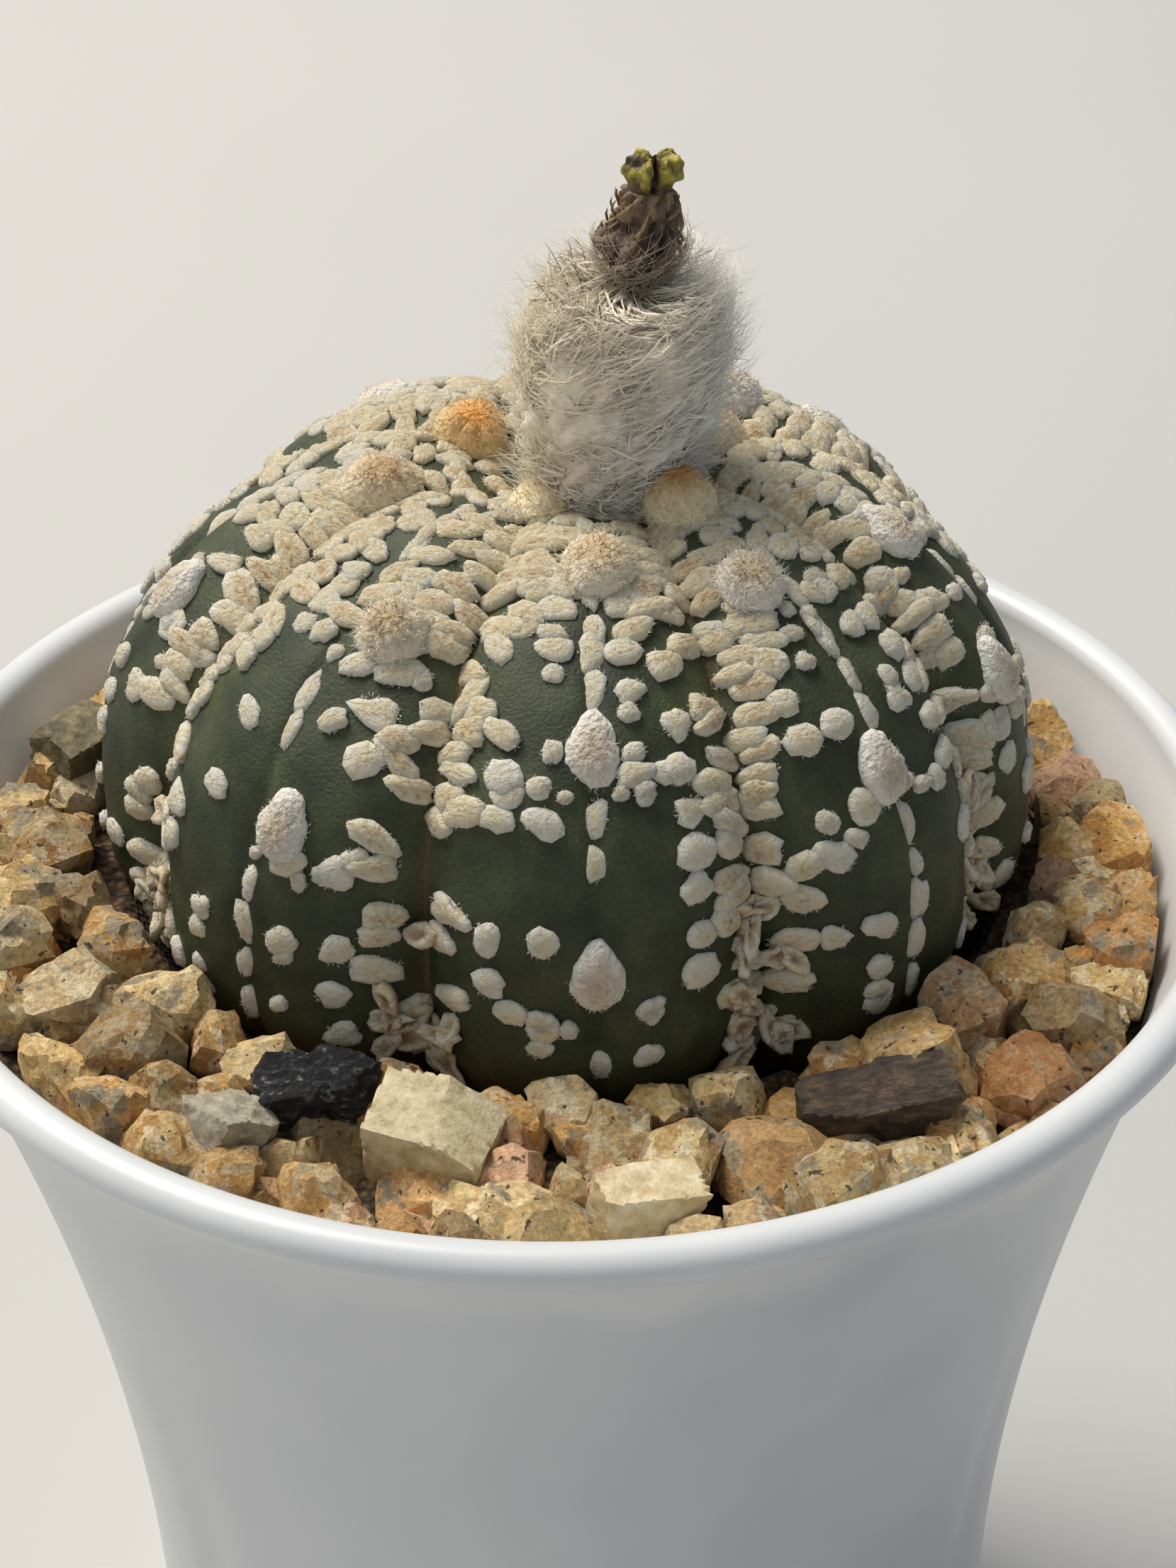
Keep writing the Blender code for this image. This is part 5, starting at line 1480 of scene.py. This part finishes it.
def wool_hairs(name, finish, count, locks, thickness, spread, lift, seed, steps, bands):
    """Hairs of the flower's tube in locks that lie on its core.

    A hair's path is its angle, height and distance from the axis as functions of its share t. It
    starts in its lock's place plus a normal draw times spread, and the draw shrinks along it, so
    that a lock's tips meet. The distance goes from the core as t ** 0.8 to WOOL_LAY plus the
    lock's lift, and all wave by sines. They sweep to the right and up, and end lower in front,
    where the stalk shows. Bands are flat, lie across the way out of the core and wave more.
    """
    heights, core = over_rim(WOOL_CORE)
    lay_heights, lay = over_rim(WOOL_LAY)
    draw = np.random.default_rng(seed)
    rise = draw.uniform(*LOCK_HEIGHTS, locks)
    upper = smooth_step(rise, 4, 9)
    lock = np.stack([
        draw.uniform(0, TAU, locks), heights[0] + rise * MM, draw.normal(0.4 * upper, 0.28),
        draw.uniform(-0.5, 3.2, locks) + 0.6 * upper, draw.uniform(*lift, locks),
        draw.uniform(-0.25, 0.25, locks)], -1)
    turn, rise, sweep, climb, high, dark = lock[draw.integers(0, locks, count)].T[..., None]
    t = np.linspace(0, 1, steps)
    phase = draw.uniform(0, TAU, (3, count, 1))
    waves = (np.sin(t * draw.uniform(2, 6, (3, count, 1)) + phase) - np.sin(phase)) * (2.2 if bands else 1)
    closing = spread * (1 - 0.7 * t)
    angle = turn + draw.normal(0, 0.13, (count, 1)) * closing + sweep * t + 0.04 * waves[0]
    z = rise + draw.normal(0, 0.7, (count, 1)) * MM * closing + climb * t * MM + 0.2 * MM * waves[1]
    top = POT_HEIGHT + (WOOL_TOP - WOOL_TOP_FRONT_DROP * np.maximum(0, np.cos(angle)) ** 2) * MM
    z = np.where(z > top, top + 0.25 * (z - top), np.maximum(z, heights[0] - 0.4 * MM))
    on_top = smooth_step(rise, POT_HEIGHT + 30.4 * MM, POT_HEIGHT + 32 * MM)
    sunk = 1 - draw.uniform(0, 0.1, (count, 1)) - 0.5 * on_top * draw.random((count, 1))
    inner = np.interp(rise, heights, core) * sunk
    outer = np.interp(z, lay_heights, lay) + high * draw.uniform(0.7, 1.2, (count, 1)) * MM
    radius = inner + (outer - inner) * t ** 0.8 + 0.1 * MM * waves[2]
    paths = round_flower(angle, z, radius)
    outward = unit(paths - round_flower(angle, z - 1 * MM, 0 * radius)) if bands else None
    widths = thickness * draw.uniform(0.7, 1.3, count) * MM
    points, faces = strands(paths, widths, seed + 10, outward=outward)
    tint = wool_tint(turn[:, 0], rise[:, 0], dark[:, 0])
    make_piece(name, points, faces, finish, *IN_WOOL, tint=per_point(tint, steps))


def make_wool(finish):
    """The woolly tube: a core whose locks are ripples drawn out along the sweep, and its hairs in
    three pieces: the locks, the hairs on them and loose fine ones that make its soft edge."""
    heights, radii = over_rim(WOOL_CORE)
    z, angle = flower_grid(heights, *CORE_GRID)
    radius = np.interp(z, heights, radii)
    swept = round_flower(angle - 90 * (z - heights[0]), z, radius) * (1, 1, 0.4)
    radius = radius + (0.26 * ripple(swept, 1.6 * MM, 122) + 0.16 * ripple(swept, 0.7 * MM, 123)) * MM
    core = with_poles(round_flower(angle, z, radius)[None], *flower_poles(z[0, 0], z[-1, 0]))
    # Painted shade: the core, under the hairs, is browner than they are by 0.25 on average, and its top, at
    # the bottom of the wool's opening, is darkened to 0.45 of its colour.
    on_top = smooth_step(z, POT_HEIGHT + 31.4 * MM, POT_HEIGHT + 33 * MM)
    dark = 0.25 - 0.25 * ripple(swept, 1.2 * MM, 124)
    tint = wool_tint(angle, z, dark) * (1 - 0.55 * on_top[..., None])
    make_piece("wool_core", core, capped_faces(*CORE_GRID), finish, *IN_WOOL,
               tint=np.concatenate([tint.reshape(-1, 4), [linear(WOOL_DARK)] * 2]))
    for name, hairs in WOOL_HAIRS.items():
        wool_hairs(name, finish, *hairs)


def make_bristles(finish):
    """Brown bristles in the wool, most at its top: paths that leave the axis outwards and up in an
    arc, thin and bent."""
    heights, radii = over_rim(WOOL_LAY)
    draw = np.random.default_rng(141)
    count, shape = BRISTLES, (BRISTLES, 1)
    t = np.linspace(0, 1, 9)
    high = draw.random(shape) < 0.66
    rise = np.where(high, draw.uniform(30.5, 33.8, shape), draw.uniform(21, 30, shape))
    start = POT_HEIGHT + rise * MM
    phase = draw.uniform(0, TAU, shape)
    turn = draw.uniform(0, TAU, shape) + t * draw.normal(0, 0.3, shape)
    turn = turn + 0.08 * (np.sin(3 * t + phase) - np.sin(phase))
    length = draw.uniform(2.2, 4.4, shape) * MM
    up = np.where(high, draw.uniform(0.3, 0.8, shape), draw.uniform(0.1, 0.7, shape))
    z = start + length * up * np.sin(t * draw.uniform(0.9, 2.0, shape))
    base = np.interp(start, heights, radii) * draw.uniform(0.55, 0.8, shape)
    radius = base + length * (1 - 0.7 * up) * t
    widths = draw.uniform(0.07, 0.12, count) * MM
    points, faces = strands(round_flower(turn, z, radius), widths, 142, tip=0.4)
    make_piece("bristles", points, faces, finish, *IN_WOOL, tint=one_tint(points, BRISTLE_BROWN))


def make_petals(finish):
    """Dried petals twisted into a stalk: the profile's radius times folds that wind upwards,
    sharp-edged as 1 - |sin|, with knobs on the left as Gaussian bumps, crumpled by two ripples."""
    heights, radii = over_rim(STALK_PROFILE)
    z, angle = flower_grid(heights, *STALK_GRID)
    rise = (z - heights[0]) / MM
    twist = angle - TWIST_PER_MM * rise
    folds = 0.2 * (1 - np.abs(np.sin(STALK_FOLDS * twist + 0.5 * np.sin(rise)))) ** 1.5
    folds = folds + 0.08 * np.sin(9 * twist + 1.1 * rise)
    left = angle - KNOB_BEARING
    knobs = sum(
        size * np.exp(-(np.angle(np.exp(1j * (left - at))) / wide) ** 2 - ((rise - level) / tall) ** 2)
        for size, at, level, wide, tall in STALK_KNOBS)
    radius = np.interp(z, heights, radii) * (0.88 + folds + knobs)
    points = round_flower(angle, z, radius)
    radius = radius + 0.16 * MM * ripple(points, 0.9 * MM, 151) + 0.08 * MM * ripple(points, 0.4 * MM, 152)
    points = with_poles(round_flower(angle, z, radius)[None], *flower_poles(heights[0], heights[-1]))
    # Painted highlight and shade: the tone grows with the folds and knobs that push the radius out, so the
    # ridges are lighter and the folds between them darker.
    tone = (0.16 * smooth_step(rise, 7.4, 9.0) + (folds + knobs) * 0.5 - 0.1).ravel()
    make_piece("withered_petals", points, capped_faces(*STALK_GRID), finish, *ON_STALK,
               tone=np.append(tone, (0, 0)))


def make_strips_and_wisps(petal, wool):
    """Torn strips of petal that wind up along the stalk and stand off at their ends, and thin
    wisps of wool that cling to it in arcs, both as strands."""
    heights, radii = over_rim(STALK_PROFILE)
    draw = np.random.default_rng(153)
    t = np.linspace(0, 1, STRAND_STEPS)
    count, shape = PETAL_STRIPS, (PETAL_STRIPS, 1)
    low = draw.uniform(0.5, 8.0, shape)
    line = heights[0] + np.clip(low + t * draw.uniform(1.2, 3.4, shape), 0, 9.7) * MM
    phase = draw.uniform(0, TAU, shape)
    turn = phase + (TWIST_PER_MM * (line - heights[0]) / MM) * draw.uniform(0.3, 1.2, shape)
    far = np.interp(line, heights, radii) * (1.04 + 0.16 * np.sin(t * 6 + phase)) + 0.25 * MM * t ** 3
    widths = draw.uniform(0.2, 0.5, count) * MM
    points, faces = strands(round_flower(turn, line, far), widths, 154, tip=0.5)
    tone = draw.uniform(-0.05, 0.3, count) + 0.2 * (low[:, 0] > 6)
    make_piece("petal_strips", points, faces, petal, *ON_STALK, tone=per_point(tone, STRAND_STEPS))
    shape = (STALK_WISPS, 1)
    start = draw.uniform(30.0, 36.4, shape) - 1.6 * draw.random(shape)
    line = POT_HEIGHT + (start + t * draw.uniform(0.5, 3.4, shape)) * MM
    phase = draw.uniform(0, TAU, shape)
    turn = draw.uniform(0, TAU, shape) + t * draw.normal(0.2, 0.8, shape) + 0.2 * np.sin(5 * t + phase)
    far = np.interp(line, heights, radii) * 1.08 + (0.25 + 0.7 * draw.random(shape) * np.sin(t * 2.4)) * MM
    points, faces = strands(round_flower(turn, line, far), 0.05 * MM, 155)
    make_piece("stalk_wisps", points, faces, wool, *IN_WOOL, tint=one_tint(points, WISP_GREY))


def make_tip(finish):
    """The cut end: a flared knob with a domed, crumpled top, parted by a groove into two lobes.

    The section turned round the axis is scalloped by cos(5 angle) and cos(9 angle). Where it nears
    the plane between the lobes, its radius and height shrink by a Gaussian of the distance, and
    two ripples crumple it.
    """
    section = np.array(TIP_SECTION)
    share = np.linspace(0, len(section) - 1, TIP_GRID[0])
    radius, rise = (np.interp(share, np.arange(len(section)), column)[:, None] for column in section.T)
    angle = ring_angles(TIP_GRID[1])
    how = smooth_step(share, 1, 4)[:, None]
    radius = radius * (1 + how * (0.07 * np.cos(5 * angle + 1) + 0.06 * np.cos(9 * angle + 2)))
    between = how * np.exp(-(radius * np.sin(angle - 0.08) / 0.3) ** 2)
    radius, rise = radius * (1 - 0.36 * between), rise - 0.7 * between + 0.12 * how * np.cos(7 * angle + 2)
    z = POT_HEIGHT + rise * MM
    points = round_flower(angle + 0 * z, z, radius * MM)
    out = unit(points - np.append(flower_axis(TIP_MIDDLE), TIP_MIDDLE))
    crumple = 0.13 * ripple(points, 0.8 * MM, 161) + 0.06 * ripple(points, 0.4 * MM, 162)
    points = points + out * (crumple * how * MM)[..., None]
    points[..., 2] = np.minimum(points[..., 2], POT_HEIGHT + TIP_TOP * MM)
    points = with_poles(points[None], *flower_poles(*(POT_HEIGHT + level * MM for level in TIP_POLES)))
    torn = sum(
        smooth_step(np.cos(angle - math.radians(bearing)), low, high)
        for bearing, low, high in ((290, 0.8, 0.98), (100, 0.9, 0.99)))
    torn = torn * np.exp(-((share - 6.5) / 1.2) ** 2)[:, None]
    low = 1 - smooth_step(share, 1.5, 3.6)[:, None]
    # Painted light and shade: the tone falls where the crumple bulges out and rises where it dents in, and
    # the groove between the lobes is darkened, partly as the dark inside of the tube and partly as painted
    # shade.
    tone = 0.16 + 0.75 * between + 0.6 * torn + 0.45 * low - 1.0 * crumple
    make_piece("tip_lobes", points, capped_faces(*TIP_GRID), finish, "cut_flower_end", "flower_tip",
               tone=np.append(tone.ravel(), (0.6, 0.6)))


# Stage: lamps as place, aim, side in metres, watts and colour

LAMPS = {
    "window_light": ((-0.6, 0.6, 1.4), (0, 0, 0.08), 0.72, 30.0, "#FFF8EE"),
    "room_light": ((-0.5, -0.7, 0.9), (0, 0, 0.06), 0.9, 1.6, "#F4F0EA"),
}
SKY_COLOUR = "#D6E2F0"
SKY_STRENGTH = 0.34
FLOOR_HALF = 8.0


def make_floor():
    """A plain pale square under the pot."""
    mesh = bpy.data.meshes.new("floor")
    corners = [(FLOOR_HALF * x, FLOOR_HALF * y, 0) for x, y in ((-1, -1), (1, -1), (1, 1), (-1, 1))]
    mesh.from_pydata(corners, [], [(0, 1, 2, 3)])
    mesh.materials.append(painted_board())
    put_in_scene("floor", mesh)


def make_light():
    """A large square lamp as the window, a weak one in front, and an even pale sky."""
    for name, (place, aim, side, power, colour) in LAMPS.items():
        lamp = bpy.data.lights.new(name, "AREA")
        lamp.shape, lamp.size, lamp.energy, lamp.color = "SQUARE", side, power, linear(colour)[:3]
        thing = put_in_scene(name, lamp)
        thing.location = place
        thing.rotation_euler = (Vector(place) - Vector(aim)).to_track_quat("Z", "Y").to_euler()
    world = bpy.data.worlds.new("room")
    world.use_nodes = True
    sky = world.node_tree.nodes["Background"]
    sky.inputs["Color"].default_value = linear(SKY_COLOUR)
    sky.inputs["Strength"].default_value = SKY_STRENGTH
    bpy.context.scene.world = world
    bpy.context.scene.view_settings.view_transform = "Standard"


def make_camera():
    """The photograph's camera, from its place and its ways right and up."""
    lens = bpy.data.cameras.new("photo_camera")
    lens.lens, lens.sensor_width, lens.clip_start = CAMERA_LENS, CAMERA_SENSOR, 0.01
    camera = put_in_scene("photo_camera", lens)
    right, up = Vector(CAMERA_RIGHT), Vector(CAMERA_UP)
    turn = Matrix((right, up, right.cross(up))).transposed().to_4x4()
    camera.matrix_world = Matrix.Translation(CAMERA_PLACE) @ turn
    bpy.context.scene.camera = camera


def main():
    make_floor()
    make_light()
    make_camera()
    make_pot(moulded_polypropylene())
    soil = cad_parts["soil"]
    soil.data.materials.clear()
    soil.data.materials.append(potting_mix())
    make_bed(under_grit_and_gap_shade())
    make_grit(crushed_granite())
    make_odd_stones()
    make_skin(cactus_skin())
    make_flecks(plant_felt("fleck_felt", FELT_STOPS), plant_felt("fleck_hair", FELT_STOPS, 0.1))
    make_pads(tinted_wool("pad_felt", 2600, 0.45 * MM), tinted_wool("pad_hair"))
    dried_felt = plant_felt("dried_felt", DRIED_STOPS)
    make_flakes(dried_felt)
    make_seam(dried_felt)
    wool = tinted_wool("seed_wool")
    make_wool(wool)
    make_bristles(wool)
    petal = dried_petals()
    make_petals(petal)
    make_strips_and_wisps(petal, wool)
    make_tip(cut_flower_end())


main()
